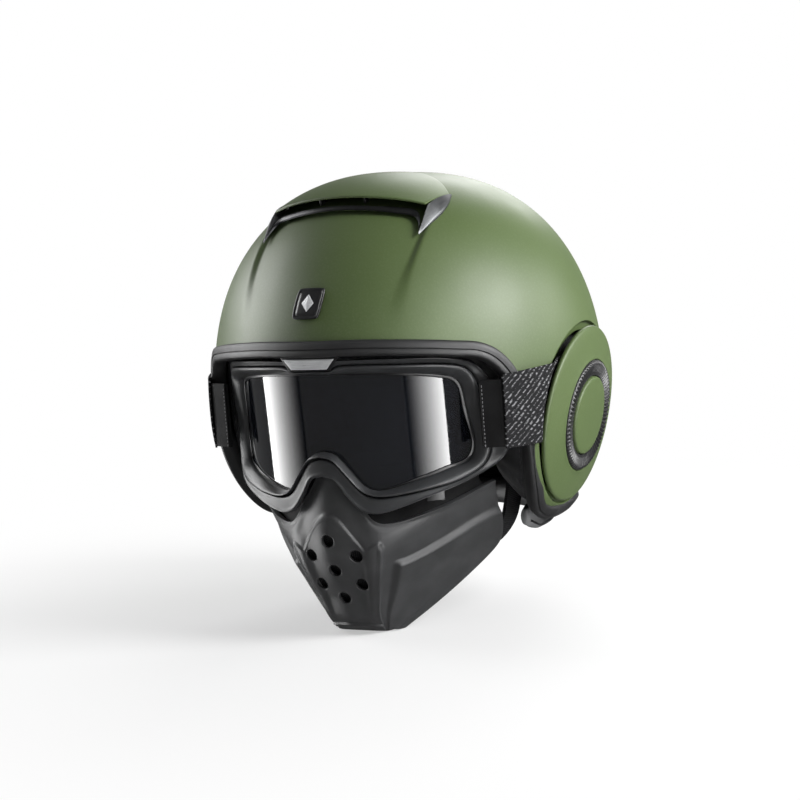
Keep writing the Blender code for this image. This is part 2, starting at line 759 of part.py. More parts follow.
def strap_path(side):
    """From the anchor between liner and cheek pad, down and in under the chin."""
    places = []
    for z in (0, -22, -42):
        azimuth = radians(84)
        places.append(skin(azimuth, polar_at(azimuth, z), STRAP_DEPTH, egg))
    places += [Vector((71, -4, -60)), Vector((67, -6, -76)), Vector((60, -10, -87)),
               Vector((52, -13, -93))]
    return mirrored(places, side)


def make_chin_strap(side, label):
    places = strap_path(side)
    if side < 0:
        places += mirrored([(40, -21, -104)], side)
    web("chin_strap_" + label, places, [STRAP_HALF] * len(places), 1.8, webbing)
    anchor = places[0] + Vector((0, 0, 8.5))
    box_at("strap_anchor_" + label, anchor, (1.8, 26, 12), Matrix.Identity(3), metal)


def make_buckle():
    """Ratchet buckle under the wearer's left jaw, its lever and the toothed tongue."""
    along = Vector((20, 4, 5)).normalized()
    wide = Vector((0, 1, 0))
    wide = (wide - along * wide.dot(along)).normalized()
    turn = Matrix((along, wide, along.cross(wide))).transposed()
    box_at("buckle_body", BUCKLE_MIDDLE, (34, 25, 4), turn, metal)
    hinge = BUCKLE_MIDDLE + turn @ Vector((14.2, 0, -4.6))
    lever_middle = BUCKLE_MIDDLE + turn @ Vector((0, 0, -3.9))
    box_at("buckle_lever", lever_middle, (30, 21, 2.6), turn, plastic, centre=hinge)
    tongue_middle = BUCKLE_MIDDLE + turn @ Vector((-20, 0, 3.8))
    box_at("ratchet_tongue", tongue_middle, (52, 16, 2.2), turn, plastic, centre=tongue_middle)


# ---------------------------------------------------------------- assembly

def material(name, colour, roughness, metallic=0.0, alpha=1.0):
    """A Principled material."""
    made = bpy.data.materials.new(name)
    made.use_nodes = True
    shader = made.node_tree.nodes["Principled BSDF"]
    shader.inputs["Base Color"].default_value = colour
    shader.inputs["Roughness"].default_value = roughness
    shader.inputs["Metallic"].default_value = metallic
    shader.inputs["Alpha"].default_value = alpha
    made.diffuse_color = colour[:3] + (alpha,)
    return made


for old in list(bpy.data.objects):
    bpy.data.objects.remove(old, do_unlink=True)

layout = bpy.data.objects.new("layout", None)
layout.location = Vector((0, LAYOUT_Y, LAYOUT_Z)) * MM
bpy.context.scene.collection.objects.link(layout)

green = material("matt_green", GREEN, 0.5)
rubber = material("black_rubber", BLACK, 0.7)
plastic = material("black_plastic", BLACK, 0.45)
dark_plastic = material("dark_grey_plastic", DARK_GREY, 0.5)
smoke = material("smoke_lens", (0.02, 0.02, 0.022, 1), 0.05, alpha=0.9)
metal = material("silver_metal", (0.55, 0.55, 0.56, 1), 0.3, 1.0)
webbing = material("woven_webbing", (0.03, 0.03, 0.032, 1), 0.85)
fabric = material("liner_fabric", (0.02, 0.02, 0.022, 1), 0.9)
leather = material("grey_leatherette", (0.12, 0.12, 0.125, 1), 0.55)
foam = material("eps_foam", (0.05, 0.05, 0.05, 1), 0.9)
foam_black = material("black_foam", (0, 0.01, 0.01, 1), 0.95)

make_outer_shell()
make_liners()
make_neck_roll()
make_edge_trim()
make_vent_cover()
make_vent_intake()
make_vent_shutter()
make_rear_exhaust()
make_badge()
make_goggles()
make_nameplate()
make_mask()
make_buckle()
for side, label in ((1, "left"), (-1, "right")):
    make_pads(side, label)
    make_vent_wing(side, label)
    make_disc(side, label)
    make_goggle_strap(side, label)
    make_strap_clip(side, label)
    make_mask_clip(side, label)
    make_chin_strap(side, label)
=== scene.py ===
"""The looks of the open face helmet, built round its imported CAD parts."""
from math import cos, pi, radians, sin

import bmesh
import bpy
import numpy as np
from mathutils import Matrix, Vector


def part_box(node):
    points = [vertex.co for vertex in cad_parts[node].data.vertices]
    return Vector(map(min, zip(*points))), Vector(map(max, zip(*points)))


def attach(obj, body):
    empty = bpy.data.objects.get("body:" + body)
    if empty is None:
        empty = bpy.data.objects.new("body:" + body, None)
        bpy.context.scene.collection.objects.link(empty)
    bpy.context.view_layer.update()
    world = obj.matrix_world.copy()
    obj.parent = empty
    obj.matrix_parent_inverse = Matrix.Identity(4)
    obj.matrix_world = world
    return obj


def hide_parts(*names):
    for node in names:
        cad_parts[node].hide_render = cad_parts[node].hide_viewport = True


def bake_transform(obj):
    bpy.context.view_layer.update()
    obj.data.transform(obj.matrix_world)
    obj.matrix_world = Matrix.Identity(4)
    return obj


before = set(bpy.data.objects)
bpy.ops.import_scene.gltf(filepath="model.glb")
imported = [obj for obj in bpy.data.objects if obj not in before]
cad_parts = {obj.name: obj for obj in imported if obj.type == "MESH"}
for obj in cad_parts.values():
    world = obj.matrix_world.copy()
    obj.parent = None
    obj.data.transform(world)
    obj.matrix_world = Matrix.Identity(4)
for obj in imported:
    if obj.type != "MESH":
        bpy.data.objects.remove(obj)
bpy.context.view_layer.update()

MM = 0.001
PLACE = np.array((0.0, -4.0, 132.0))

# Shell, as in the CAD part: a superellipsoid round the crown axis, in millimetres.
HALF_WIDTH = 124.0
HALF_LENGTH = 134.0
AXIS_Y = 3.0
EQUATOR = 6.0
CROWN = 140.0
TAPER = 112.0
PLAN_POWER = 1.95
SIDE_POWER = 2.3
SHELL_WALL = 4.0
RIM = ((0, 46), (15, 45.8), (30, 43.5), (40, 41), (47, 38.5), (52, 32), (56, 20),
       (59.5, 0), (61.5, -20), (63.5, -38), (66.5, -53), (71, -64), (78, -70), (87, -72),
       (100, -72), (120, -72), (150, -72), (180, -72))
RIM_MM_PER_DEGREE = 2.0

DISC_CENTRE = Vector((113.5, 9.0, -10.5))
DISC_LEAN = radians(11)
DISC_TURN = radians(2)
POCKET_DEPTH = 7.0
POCKET_RADIUS = 57.0
POCKET_CUT = 61.0

LENS_RADIUS = 92.0
LENS_FACES = (92.6, 90.8)
LENS_FRONT = -115.5
LENS_LEAN = 0.06
LENS_LEVEL = 20.0
LENS_MIDDLE = 8.0
BEZEL = ((0, 34.6), (7.6, 34.6), (11.5, 37.4), (29.3, 36.4), (49.8, 33.4), (57.6, 26.5),
         (60.9, 9), (63, -12), (60.2, -27.5), (50, -36.2), (38, -40), (25, -42.6),
         (18.5, -42.2), (14, -38.5), (9.2, -28.5), (4.8, -20), (0, -17.8))
BEZEL_OPENING = ((0, 32), (8, 31.9), (14, 31.7), (28.7, 30.5), (45.3, 27), (53.4, 21.5),
                 (55.6, 4), (57.8, -14.5), (55.1, -25), (46, -29.5), (35.5, -34),
                 (24, -38.8), (18.6, -39.2), (14.3, -35.6), (9.2, -25.3), (4.6, -16.8),
                 (0, -14.8))
FLANGE = ((0, 41), (7.6, 40.9), (15, 40.8), (29.5, 40), (49, 37.2), (60.5, 29.5), (67, 12),
          (72, -10), (69, -25), (55, -35.7), (37, -44.8), (25, -51), (18.5, -52.8),
          (13.5, -50.5), (9, -42), (4.8, -31.6), (0, -29.2))

MASK_LINES = (
    ((0, -112.5, -25), (0, -117, -46), (0, -119, -66), (0, -113, -86), (0, -103, -106),
     (0, -96, -123), (0, -84, -132)),
    ((16, -110, -42), (17, -113, -54), (17, -114, -69), (15, -108, -88), (12, -100, -107),
     (10, -94.5, -122), (9, -84, -132)),
    ((31, -107, -60), (31.5, -108.5, -66), (30, -107.5, -76), (26, -104, -90),
     (21, -98, -106), (17.5, -93, -120), (16, -83, -132)),
    ((60, -85, -54), (57, -83, -64), (53, -78, -76), (46, -74, -89), (37, -74, -104),
     (27, -78, -119), (18, -80, -132)),
    ((83, -54, -42), (81, -48, -56), (77, -38, -70), (70, -32, -84), (54, -41, -101),
     (37, -56, -117), (19, -74, -132)))
BREATH_HOLES = ((0, -69), (0, -88), (0, -107), (15.4, -79), (-15.4, -79), (13.9, -98), (-13.9, -98))
BREATH_HOLE_RADIUS = 4.0


# ---------------------------------------------------------------- numbers

def ramp(value, low, high):
    """0 below low, 1 above high and a smooth step between them."""
    t = np.clip((value - low) / (high - low), 0, 1)
    return t * t * (3 - 2 * t)


def unit(vectors):
    """The vectors at length 1."""
    vectors = np.asarray(vectors, float)
    return vectors / np.maximum(np.linalg.norm(vectors, axis=-1, keepdims=True), 1e-12)


def through(points, per_span, ring=False):
    """A smooth line through the points, with the same number of steps between any two."""
    p = np.asarray(points, float)
    if ring:
        p = np.vstack((p[-1:], p, p[:2]))
    else:
        p = np.vstack((2 * p[:1] - p[1:2], p, 2 * p[-1:] - p[-2:-1]))
    line = []
    for a, b, c, d in zip(p, p[1:], p[2:], p[3:]):
        for t in np.arange(per_span) / per_span:
            line.append(0.5 * (2 * b + (c - a) * t + (2 * a - 5 * b + 4 * c - d) * t * t
                               + (3 * b - a - 3 * c + d) * t ** 3))
    if not ring:
        line.append(p[-2])
    return np.array(line)


def evenly(points, steps):
    """A polyline sampled evenly in steps along its length."""
    p = np.asarray(points, float)
    reach = np.concatenate(((0,), np.cumsum(np.linalg.norm(np.diff(p, axis=0), axis=1))))
    targets = np.linspace(0, reach[-1], steps + 1)
    return np.stack([np.interp(targets, reach, p[:, k]) for k in range(p.shape[1])], -1)


def curve(points, steps):
    """A smooth line through the points, sampled evenly."""
    return evenly(through(points, 12), steps)


def rounded(corners, radius, steps=4):
    """A closed polygon with each corner rounded."""
    p = np.asarray(corners, float)
    line = []
    for before, here, after in zip(np.roll(p, 1, 0), p, np.roll(p, -1, 0)):
        back, ahead = before - here, after - here
        start = here + back * min(0.45, radius / max(np.linalg.norm(back), 1e-9))
        stop = here + ahead * min(0.45, radius / max(np.linalg.norm(ahead), 1e-9))
        for t in np.linspace(0, 1, steps + 1):
            line.append((1 - t) ** 2 * start + 2 * t * (1 - t) * here + t * t * stop)
    return np.array(line)


# ---------------------------------------------------------------- meshes

def build(name, points, faces, material, uv=None, sharp=32, weld=0.0):
    """A named object from points in layout millimetres."""
    data = bpy.data.meshes.new(name)
    world = (np.asarray(points, float).reshape(-1, 3) + PLACE) * MM
    data.from_pydata(world.tolist(), [], [list(map(int, face)) for face in faces])
    if uv is not None:
        layer = data.uv_layers.new(name="UVMap")
        corner = np.zeros(len(data.loops), np.int32)
        data.loops.foreach_get("vertex_index", corner)
        layer.data.foreach_set("uv", np.asarray(uv, float).reshape(-1, 2)[corner].ravel())
    mesh = bmesh.new()
    mesh.from_mesh(data)
    if weld:
        bmesh.ops.remove_doubles(mesh, verts=mesh.verts, dist=weld * MM)
    bmesh.ops.recalc_face_normals(mesh, faces=mesh.faces)
    mesh.to_mesh(data)
    mesh.free()
    data.shade_smooth()
    data.set_sharp_from_angle(angle=radians(sharp))
    data.materials.append(material)
    piece = bpy.data.objects.new(name, data)
    bpy.context.scene.collection.objects.link(piece)
    return piece


def grid_faces(rows, columns, wrap_rows=False, wrap_columns=False, start=0):
    """Quads of a grid of points stored row by row."""
    r = np.arange(rows if wrap_rows else rows - 1)
    c = np.arange(columns if wrap_columns else columns - 1)
    r, c = np.meshgrid(r, c, indexing="ij")
    r, c = r.ravel(), c.ravel()
    after, right = (r + 1) % rows, (c + 1) % columns
    quads = np.stack((r * columns + c, r * columns + right, after * columns + right,
                      after * columns + c), -1)
    return (quads + start).tolist()


def grid_uv(rows, columns, size):
    """Texture coordinates that count millimetres over a grid."""
    v, u = np.meshgrid(np.linspace(0, size[1], rows), np.linspace(0, size[0], columns),
                       indexing="ij")
    return np.stack((u, v), -1)


def sheet(name, grid, material, thickness=0.0, bevel=0.0, uv_size=None, sharp=32):
    """An open surface through a grid of points, thickened inward when asked."""
    rows, columns = grid.shape[:2]
    uv = None if uv_size is None else grid_uv(rows, columns, uv_size)
    piece = build(name, grid, grid_faces(rows, columns), material, uv, sharp)
    if thickness:
        thicken(piece, thickness, bevel)
    return piece


def thicken(piece, thickness, bevel):
    """Wall thickness and rounded edges on an open surface."""
    solid = piece.modifiers.new("wall", 'SOLIDIFY')
    solid.thickness = thickness * MM
    solid.offset = 0
    if bevel:
        round_edges(piece, bevel)


def round_edges(piece, width, segments=3, angle=40):
    """Rounded edges that catch the light."""
    edge = piece.modifiers.new("edges", 'BEVEL')
    edge.width = width * MM
    edge.segments = segments
    edge.limit_method = 'ANGLE'
    edge.angle_limit = radians(angle)
    edge.harden_normals = False


def sweep(name, sections, material, ring=False, uv_size=None, sharp=32):
    """A solid through matching closed sections, capped unless it runs in a ring."""
    sections = np.asarray(sections, float)
    count, around = sections.shape[:2]
    faces = grid_faces(count, around, wrap_rows=ring, wrap_columns=True)
    if not ring:
        faces.append(list(range(around))[::-1])
        faces.append([(count - 1) * around + k for k in range(around)])
    uv = None if uv_size is None else grid_uv(count, around, uv_size)
    return build(name, sections, faces, material, uv, sharp)


def cup(name, outer, inner, material, sharp=32):
    """A solid between two stacks of rings that close at the crown and meet at the lip."""
    around = outer.shape[1]
    points = np.concatenate((outer, inner[::-1]))
    faces = grid_faces(len(points), around, wrap_columns=True)
    return build(name, points, faces, material, sharp=sharp, weld=0.01)


def lathe(name, profile, axis_frame, material, steps=128, rough=None, sharp=32):
    """A solid of revolution round a frame's Z axis; rough changes heights by angle."""
    profile = np.asarray(profile, float)
    angle = np.arange(steps) * 2 * pi / steps
    r, h = profile[:, :1], profile[:, 1:] + np.zeros(steps)
    if rough is not None:
        h = h + rough(r, angle)
    grid = np.stack((r * np.cos(angle), r * np.sin(angle), h), -1)
    faces = grid_faces(len(profile), steps, wrap_rows=profile[0, 0] > 0, wrap_columns=True)
    return build(name, moved(grid, axis_frame), faces, material, sharp=sharp, weld=0.01)


def moved(points, matrix):
    """Points through a 4x4 matrix."""
    m = np.array(matrix, float)
    return np.asarray(points) @ m[:3, :3].T + m[:3, 3]


def block(name, middle, size, turn, material, bevel=0.5):
    """A bevelled block given by its middle, size and rotation."""
    x, y, z = np.asarray(size, float) / 2
    corners = np.array([(a, b, c) for a in (-x, x) for b in (-y, y) for c in (-z, z)])
    faces = ((0, 1, 3, 2), (4, 6, 7, 5), (0, 4, 5, 1), (2, 3, 7, 6), (0, 2, 6, 4), (1, 5, 7, 3))
    m = np.array(turn, float)
    piece = build(name, corners @ m.T + np.asarray(middle), faces, material)
    round_edges(piece, bevel)
    return piece


def join(name, pieces):
    """Several pieces as one object, with their modifiers applied."""
    graph = bpy.context.evaluated_depsgraph_get()
    mesh = bmesh.new()
    materials = []
    for piece in pieces:
        data = bpy.data.meshes.new_from_object(piece.evaluated_get(graph))
        start = len(mesh.faces)
        mesh.from_mesh(data)
        mesh.faces.ensure_lookup_table()
        own = piece.data.materials[0]
        if own not in materials:
            materials.append(own)
        for face in mesh.faces[start:]:
            face.material_index = materials.index(own)
        bpy.data.meshes.remove(data)
    made = bpy.data.meshes.new(name)
    mesh.to_mesh(made)
    mesh.free()
    made.shade_smooth()
    made.set_sharp_from_angle(angle=radians(32))
    for own in materials:
        made.materials.append(own)
    for piece in pieces:
        bpy.data.objects.remove(piece)
    whole = bpy.data.objects.new(name, made)
    bpy.context.scene.collection.objects.link(whole)
    return whole


def stitches(name, places, outs, material, length=2.4, pitch=3.6, radius=0.3):
    """A row of thread stitches along a line that lies on a surface."""
    places = np.asarray(places, float)
    total = np.linalg.norm(np.diff(places, axis=0), axis=1).sum()
    count = max(2, int(total / pitch))
    spots = evenly(places, count)
    normals = unit(evenly(outs, count))
    points, faces = [], []
    ring = np.linspace(0, 2 * pi, 6, endpoint=False)
    for spot, after, out in zip(spots, spots[1:], normals):
        along = unit(after - spot)
        side = unit(np.cross(along, out))
        start = len(points)
        for t, size, rise in ((-0.5, 0.3, -0.2), (-0.3, 0.9, 0.5), (0.3, 0.9, 0.5), (0.5, 0.3, -0.2)):
            middle = spot + along * length * t + out * radius * rise
            for a in ring:
                points.append(middle + (side * cos(a) + out * sin(a)) * radius * size)
        faces += grid_faces(4, 6, wrap_columns=True, start=start)
        faces.append([start + k for k in range(6)][::-1])
        faces.append([start + 18 + k for k in range(6)])
    return build(name, points, faces, material)


def cord(name, places, radius, material, ring=False, around=10):
    """A round cord or bead along a line."""
    places = np.asarray(places, float)
    if ring:
        along = unit(np.roll(places, -1, 0) - np.roll(places, 1, 0))
    else:
        along = unit(np.gradient(places, axis=0))
    up = np.array((0.3, 0.5, 0.81))
    side = unit(np.cross(along, up))
    out = np.cross(side, along)
    angle = np.linspace(0, 2 * pi, around, endpoint=False)[None, :, None]
    sections = places[:, None] + (side[:, None] * np.cos(angle) + out[:, None] * np.sin(angle)) * radius
    return sweep(name, sections, material, ring=ring)


# ---------------------------------------------------------------- the skin

def plan_radius(azimuth):
    """The shell's radius at its equator; azimuth 0 is the brow, positive is left."""
    across = np.abs(np.sin(azimuth)) / HALF_WIDTH
    along = np.abs(np.cos(azimuth)) / HALF_LENGTH
    return (across ** PLAN_POWER + along ** PLAN_POWER) ** (-1 / PLAN_POWER)


def polar_at(azimuth, z):
    """The angle from the crown axis of the skin point at a height."""
    z = np.asarray(z, float)
    rise = np.abs(z - EQUATOR) / np.where(z > EQUATOR, CROWN, TAPER)
    level = (1 - rise ** SIDE_POWER) ** (1 / SIDE_POWER)
    return np.arctan2(plan_radius(azimuth) * level, z - EQUATOR)


def egg(azimuth, polar):
    """The plain outer surface."""
    azimuth, polar = np.broadcast_arrays(azimuth, polar)
    flat = np.abs(np.sin(polar)) / plan_radius(azimuth)
    tall = np.abs(np.cos(polar)) / np.where(np.cos(polar) > 0, CROWN, TAPER)
    reach = (flat ** SIDE_POWER + tall ** SIDE_POWER) ** (-1 / SIDE_POWER)
    return np.stack((reach * np.sin(polar) * np.sin(azimuth),
                     AXIS_Y - reach * np.sin(polar) * np.cos(azimuth),
                     EQUATOR + reach * np.cos(polar)), -1)


def shape_value(points):
    """0 on the plain surface, positive outside, with its gradient."""
    x, y, z = points[..., 0], points[..., 1] - AXIS_Y, points[..., 2] - EQUATOR
    height = np.where(z > 0, CROWN, TAPER)
    plan = np.abs(x / HALF_WIDTH) ** PLAN_POWER + np.abs(y / HALF_LENGTH) ** PLAN_POWER
    share = SIDE_POWER * np.maximum(plan, 1e-12) ** (SIDE_POWER / PLAN_POWER - 1)
    slope = PLAN_POWER - 1
    gradient = np.stack((share * np.abs(x) ** slope * np.sign(x) / HALF_WIDTH ** PLAN_POWER,
                         share * np.abs(y) ** slope * np.sign(y) / HALF_LENGTH ** PLAN_POWER,
                         SIDE_POWER * np.abs(z) ** (SIDE_POWER - 1) * np.sign(z)
                         / height ** SIDE_POWER), -1)
    value = plan ** (SIDE_POWER / PLAN_POWER) + np.abs(z / height) ** SIDE_POWER - 1
    return value, gradient


def normals_at(points):
    """Outward directions of the plain surface near the points."""
    return unit(shape_value(points)[1])


def scoop(points):
    """How far the forehead is sunk between the two creases that run down from the vent."""
    x, y, z = np.abs(points[..., 0]), points[..., 1], points[..., 2]
    fade = ramp(z, 52, 108) * ramp(-y, 40, 52)
    width = 2.2 + 6 * (1 - ramp(z, 66, 106))
    edge = 56.5 - 1.5 * ramp(-z, -110, -60)
    return 2.5 * fade * (1 - ramp(x, edge - width, edge + 0.3 * width))


def outer(azimuth, polar):
    """The shell's outer surface without its ear pockets."""
    points = egg(azimuth, polar)
    return points - normals_at(points) * scoop(points)[..., None]


def skin(azimuth, polar, depth=0.0, surface=egg):
    """Points at a depth below a surface."""
    points = surface(azimuth, polar)
    return points - normals_at(points) * np.asarray(depth, float)[..., None]


def over(x, y, depth=0.0):
    """The skin points above plan positions, for the crown."""
    x, y = np.broadcast_arrays(np.asarray(x, float), np.asarray(y, float))
    azimuth = np.arctan2(x, AXIS_Y - y)
    share = np.minimum(1.0, np.hypot(x, y - AXIS_Y) / plan_radius(azimuth))
    rise = CROWN * (1 - share ** SIDE_POWER) ** (1 / SIDE_POWER)
    points = np.stack((x, y, EQUATOR + rise), -1)
    return points - normals_at(points) * np.asarray(depth, float)[..., None]


def in_front(x, z, depth=0.0):
    """The outer surface's points in front at sideways distances and heights."""
    x, z = np.broadcast_arrays(np.asarray(x, float), np.asarray(z, float))
    azimuth = x / 120.0
    for _ in range(8):
        reach = skin(azimuth, polar_at(azimuth, z), depth, outer)
        azimuth = azimuth + (x - reach[..., 0]) / np.maximum(60.0, -reach[..., 1])
    return skin(azimuth, polar_at(azimuth, z), depth, outer)


def disc_frame(side):
    """Disc centre and directions; local Z points out of the ear."""
    centre = Vector((side * DISC_CENTRE.x, DISC_CENTRE.y, DISC_CENTRE.z))
    turn = Matrix.Rotation(side * DISC_TURN, 4, 'Z')
    return Matrix.Translation(centre) @ turn @ Matrix.Rotation(side * (pi / 2 + DISC_LEAN), 4, 'Y')


def local_height(side, x, y):
    """Height of the plain surface over the disc's plane at local positions."""
    m = disc_frame(side)
    out = np.array(m, float)[:3, 2]
    z = np.zeros(np.broadcast(x, y).shape)
    for _ in range(14):
        points = moved(np.stack(np.broadcast_arrays(x, y, z), -1), m)
        value, gradient = shape_value(points)
        z = z - value / (gradient @ out)
    return z


def pocket_floor(side, x):
    """Height of the pocket's floor over the disc's plane, rising toward the bottom."""
    return -POCKET_DEPTH + 0.08 * np.maximum(0.0, side * x - 10)


def pocketed(azimuth, polar, margin=0.0):
    """The plain surface with a soft-edged pocket under each disc."""
    points = egg(azimuth, polar)
    result = points.copy()
    for side in (1, -1):
        m = disc_frame(side)
        local = moved(points, m.inverted())
        wall = np.maximum(0, np.hypot(local[..., 0], local[..., 1]) - POCKET_RADIUS - margin) / 6
        floor = 12 * wall * wall + pocket_floor(side, local[..., 0])
        local[..., 2] = np.minimum(local[..., 2], floor)
        here = points[..., 0] * side > 0
        result[here] = moved(local, m)[here]
    return result


def rim_line(steps):
    """Azimuth and polar angle round the whole free edge, from the brow centre."""
    half = curve([(a * RIM_MM_PER_DEGREE, z) for a, z in RIM], steps)
    azimuth = np.radians(half[:, 0] / RIM_MM_PER_DEGREE)
    polar = polar_at(azimuth, half[:, 1])
    return np.concatenate((azimuth, -azimuth[-2:0:-1])), np.concatenate((polar, polar[-2:0:-1]))


def rim_frames(azimuth, polar):
    """Point, outward normal and edgeward direction at each place on the free edge."""
    points = skin(azimuth, polar, 0.0, pocketed)
    normals = normals_at(points)
    along = unit(np.roll(points, -1, 0) - np.roll(points, 1, 0))
    return points, normals, unit(np.cross(along, normals))


def inset(azimuth, polar, distance):
    """The free edge's angles moved back over the skin by a distance."""
    points, _, edgeward = rim_frames(azimuth, polar)
    place = points - edgeward * distance
    return (np.arctan2(place[:, 0], AXIS_Y - place[:, 1]),
            np.arctan2(np.hypot(place[:, 0], place[:, 1] - AXIS_Y), place[:, 2] - EQUATOR))


def rings_to(azimuth, polar, shares, place):
    """Rings of points between the crown and an edge, placed by a function."""
    return np.stack([place(azimuth, polar * share) for share in shares])


# ---------------------------------------------------------------- materials

def new_material(name, colour, roughness, metallic=0.0):
    """A Principled material to which texture layers are added."""
    made = bpy.data.materials.new(name)
    made.use_nodes = True
    shader = made.node_tree.nodes["Principled BSDF"]
    shader.inputs["Base Color"].default_value = (*colour, 1)
    shader.inputs["Roughness"].default_value = roughness
    shader.inputs["Metallic"].default_value = metallic
    return made


def shader_of(made):
    return made.node_tree.nodes["Principled BSDF"]


def position(made, stretch=(1, 1, 1), coords="Object"):
    """Texture position, stretched along the axes."""
    nodes, links = made.node_tree.nodes, made.node_tree.links
    source = nodes.new("ShaderNodeTexCoord")
    mapping = nodes.new("ShaderNodeMapping")
    mapping.inputs["Scale"].default_value = stretch
    links.new(source.outputs[coords], mapping.inputs["Vector"])
    return mapping.outputs["Vector"]


def noise(made, scale, detail=3.0, stretch=(1, 1, 1), coords="Object"):
    """Cloudy noise, as a value from 0 to 1."""
    node = made.node_tree.nodes.new("ShaderNodeTexNoise")
    node.inputs["Scale"].default_value = scale
    node.inputs["Detail"].default_value = detail
    made.node_tree.links.new(position(made, stretch, coords), node.inputs["Vector"])
    return node.outputs["Fac"]


def cells(made, scale, feature='F1', coords="Object"):
    """Distance to the nearest of scattered points, for grain and beads."""
    node = made.node_tree.nodes.new("ShaderNodeTexVoronoi")
    node.feature = feature
    node.inputs["Scale"].default_value = scale
    made.node_tree.links.new(position(made, coords=coords), node.inputs["Vector"])
    return node.outputs["Distance"]


def waves(made, scale, direction, distortion=0.0, coords="UV"):
    """Parallel ridges, as a value from 0 to 1; direction X, Y, Z or DIAGONAL."""
    node = made.node_tree.nodes.new("ShaderNodeTexWave")
    node.bands_direction = direction
    node.inputs["Scale"].default_value = scale
    node.inputs["Distortion"].default_value = distortion
    made.node_tree.links.new(position(made, coords=coords), node.inputs["Vector"])
    return node.outputs["Fac"]


def levels(made, value, low, high):
    """A value stretched so that low becomes 0 and high becomes 1."""
    node = made.node_tree.nodes.new("ShaderNodeMapRange")
    node.inputs["From Min"].default_value = low
    node.inputs["From Max"].default_value = high
    made.node_tree.links.new(value, node.inputs["Value"])
    return node.outputs["Result"]


def combine(made, operation, a, b):
    """Two values through a maths operation."""
    node = made.node_tree.nodes.new("ShaderNodeMath")
    node.operation = operation
    for value, socket in ((a, node.inputs[0]), (b, node.inputs[1])):
        if isinstance(value, (int, float)):
            socket.default_value = value
        else:
            made.node_tree.links.new(value, socket)
    return node.outputs[0]


def relief(made, value, depth):
    """Adds surface relief of a depth in millimetres."""
    socket = shader_of(made).inputs["Normal"]
    bump = made.node_tree.nodes.new("ShaderNodeBump")
    bump.inputs["Distance"].default_value = depth * MM
    made.node_tree.links.new(value, bump.inputs["Height"])
    if socket.is_linked:
        made.node_tree.links.new(socket.links[0].from_socket, bump.inputs["Normal"])
    made.node_tree.links.new(bump.outputs["Normal"], socket)


def tint(made, value, colour):
    """Mixes a colour in where the value is high."""
    socket = shader_of(made).inputs["Base Color"]
    mix = made.node_tree.nodes.new("ShaderNodeMix")
    mix.data_type = 'RGBA'
    made.node_tree.links.new(value, mix.inputs["Factor"])
    if socket.is_linked:
        made.node_tree.links.new(socket.links[0].from_socket, mix.inputs["A"])
    else:
        mix.inputs["A"].default_value = socket.default_value
    mix.inputs["B"].default_value = (*colour, 1)
    made.node_tree.links.new(mix.outputs["Result"], socket)


def vary_roughness(made, value, low, high):
    """Lets the roughness follow a value."""
    node = made.node_tree.nodes.new("ShaderNodeMapRange")
    node.inputs["To Min"].default_value = low
    node.inputs["To Max"].default_value = high
    made.node_tree.links.new(value, node.inputs["Value"])
    made.node_tree.links.new(node.outputs["Result"], shader_of(made).inputs["Roughness"])


def make_paint():
    """Matt green lacquer with a faint mottle, orange peel and handling scuffs."""
    made = new_material("matt_green_lacquer", (0.076, 0.115, 0.036), 0.44)
    tint(made, levels(made, noise(made, 14, 2), 0.35, 0.75), (0.086, 0.126, 0.042))
    tint(made, levels(made, noise(made, 900, 1), 0.45, 1.3), (0.11, 0.15, 0.065))
    vary_roughness(made, noise(made, 45, 5), 0.40, 0.52)
    shader_of(made).inputs["IOR"].default_value = 1.5
    relief(made, noise(made, 380, 2), 0.02)
    relief(made, noise(made, 2600, 1), 0.006)
    return made


def make_grained(name, colour, roughness, grain=1500, depth=0.03, metallic=0.0):
    """Moulded plastic or rubber with a fine leathered grain."""
    made = new_material(name, colour, roughness, metallic)
    light = tuple(min(1.0, c * 1.5 + 0.004) for c in colour)
    tint(made, levels(made, noise(made, 60, 4), 0.42, 0.9), light)
    vary_roughness(made, noise(made, 130, 4), roughness - 0.07, roughness + 0.08)
    relief(made, cells(made, grain), depth)
    relief(made, noise(made, 3500, 2), depth / 3)
    return made


def make_brushed(name, colour, roughness, stretch, metallic=0.9):
    """Metal or metal paint with brush lines along one direction."""
    made = new_material(name, colour, roughness, metallic)
    lines = noise(made, 1800, 3, stretch)
    tint(made, levels(made, lines, 0.4, 1.0), tuple(min(1.0, c * 1.35) for c in colour))
    vary_roughness(made, lines, roughness - 0.08, roughness + 0.12)
    relief(made, lines, 0.006)
    return made


def make_lens():
    """Smoke polycarbonate: dark, glossy and slightly see-through."""
    made = new_material("smoke_lens", (0.006, 0.007, 0.010), 0.03)
    shader = shader_of(made)
    shader.inputs["IOR"].default_value = 1.75
    shader.inputs["Alpha"].default_value = 0.88
    vary_roughness(made, levels(made, noise(made, 25, 4), 0.3, 0.9), 0.03, 0.09)
    relief(made, noise(made, 9, 1), 0.002)
    return made


def make_elastic():
    """Black woven elastic with light flecks in slanting rows."""
    made = new_material("woven_elastic", (0.010, 0.010, 0.011), 0.82)
    weave = waves(made, 0.17, 'DIAGONAL', 0.5)
    dashes = levels(made, noise(made, 0.75, 2, (1.0, 0.6, 1), "UV"), 0.47, 0.60)
    rows = levels(made, weave, 0.60, 0.92)
    tint(made, combine(made, 'MULTIPLY', rows, dashes), (0.26, 0.26, 0.27))
    threads = levels(made, noise(made, 3.0, 2, (1, 1, 1), "UV"), 0.55, 0.85)
    tint(made, combine(made, 'MULTIPLY', threads, 0.5), (0.07, 0.07, 0.075))
    relief(made, weave, 0.35)
    relief(made, noise(made, 3.0, 2, (1, 1, 1), "UV"), 0.15)
    return made


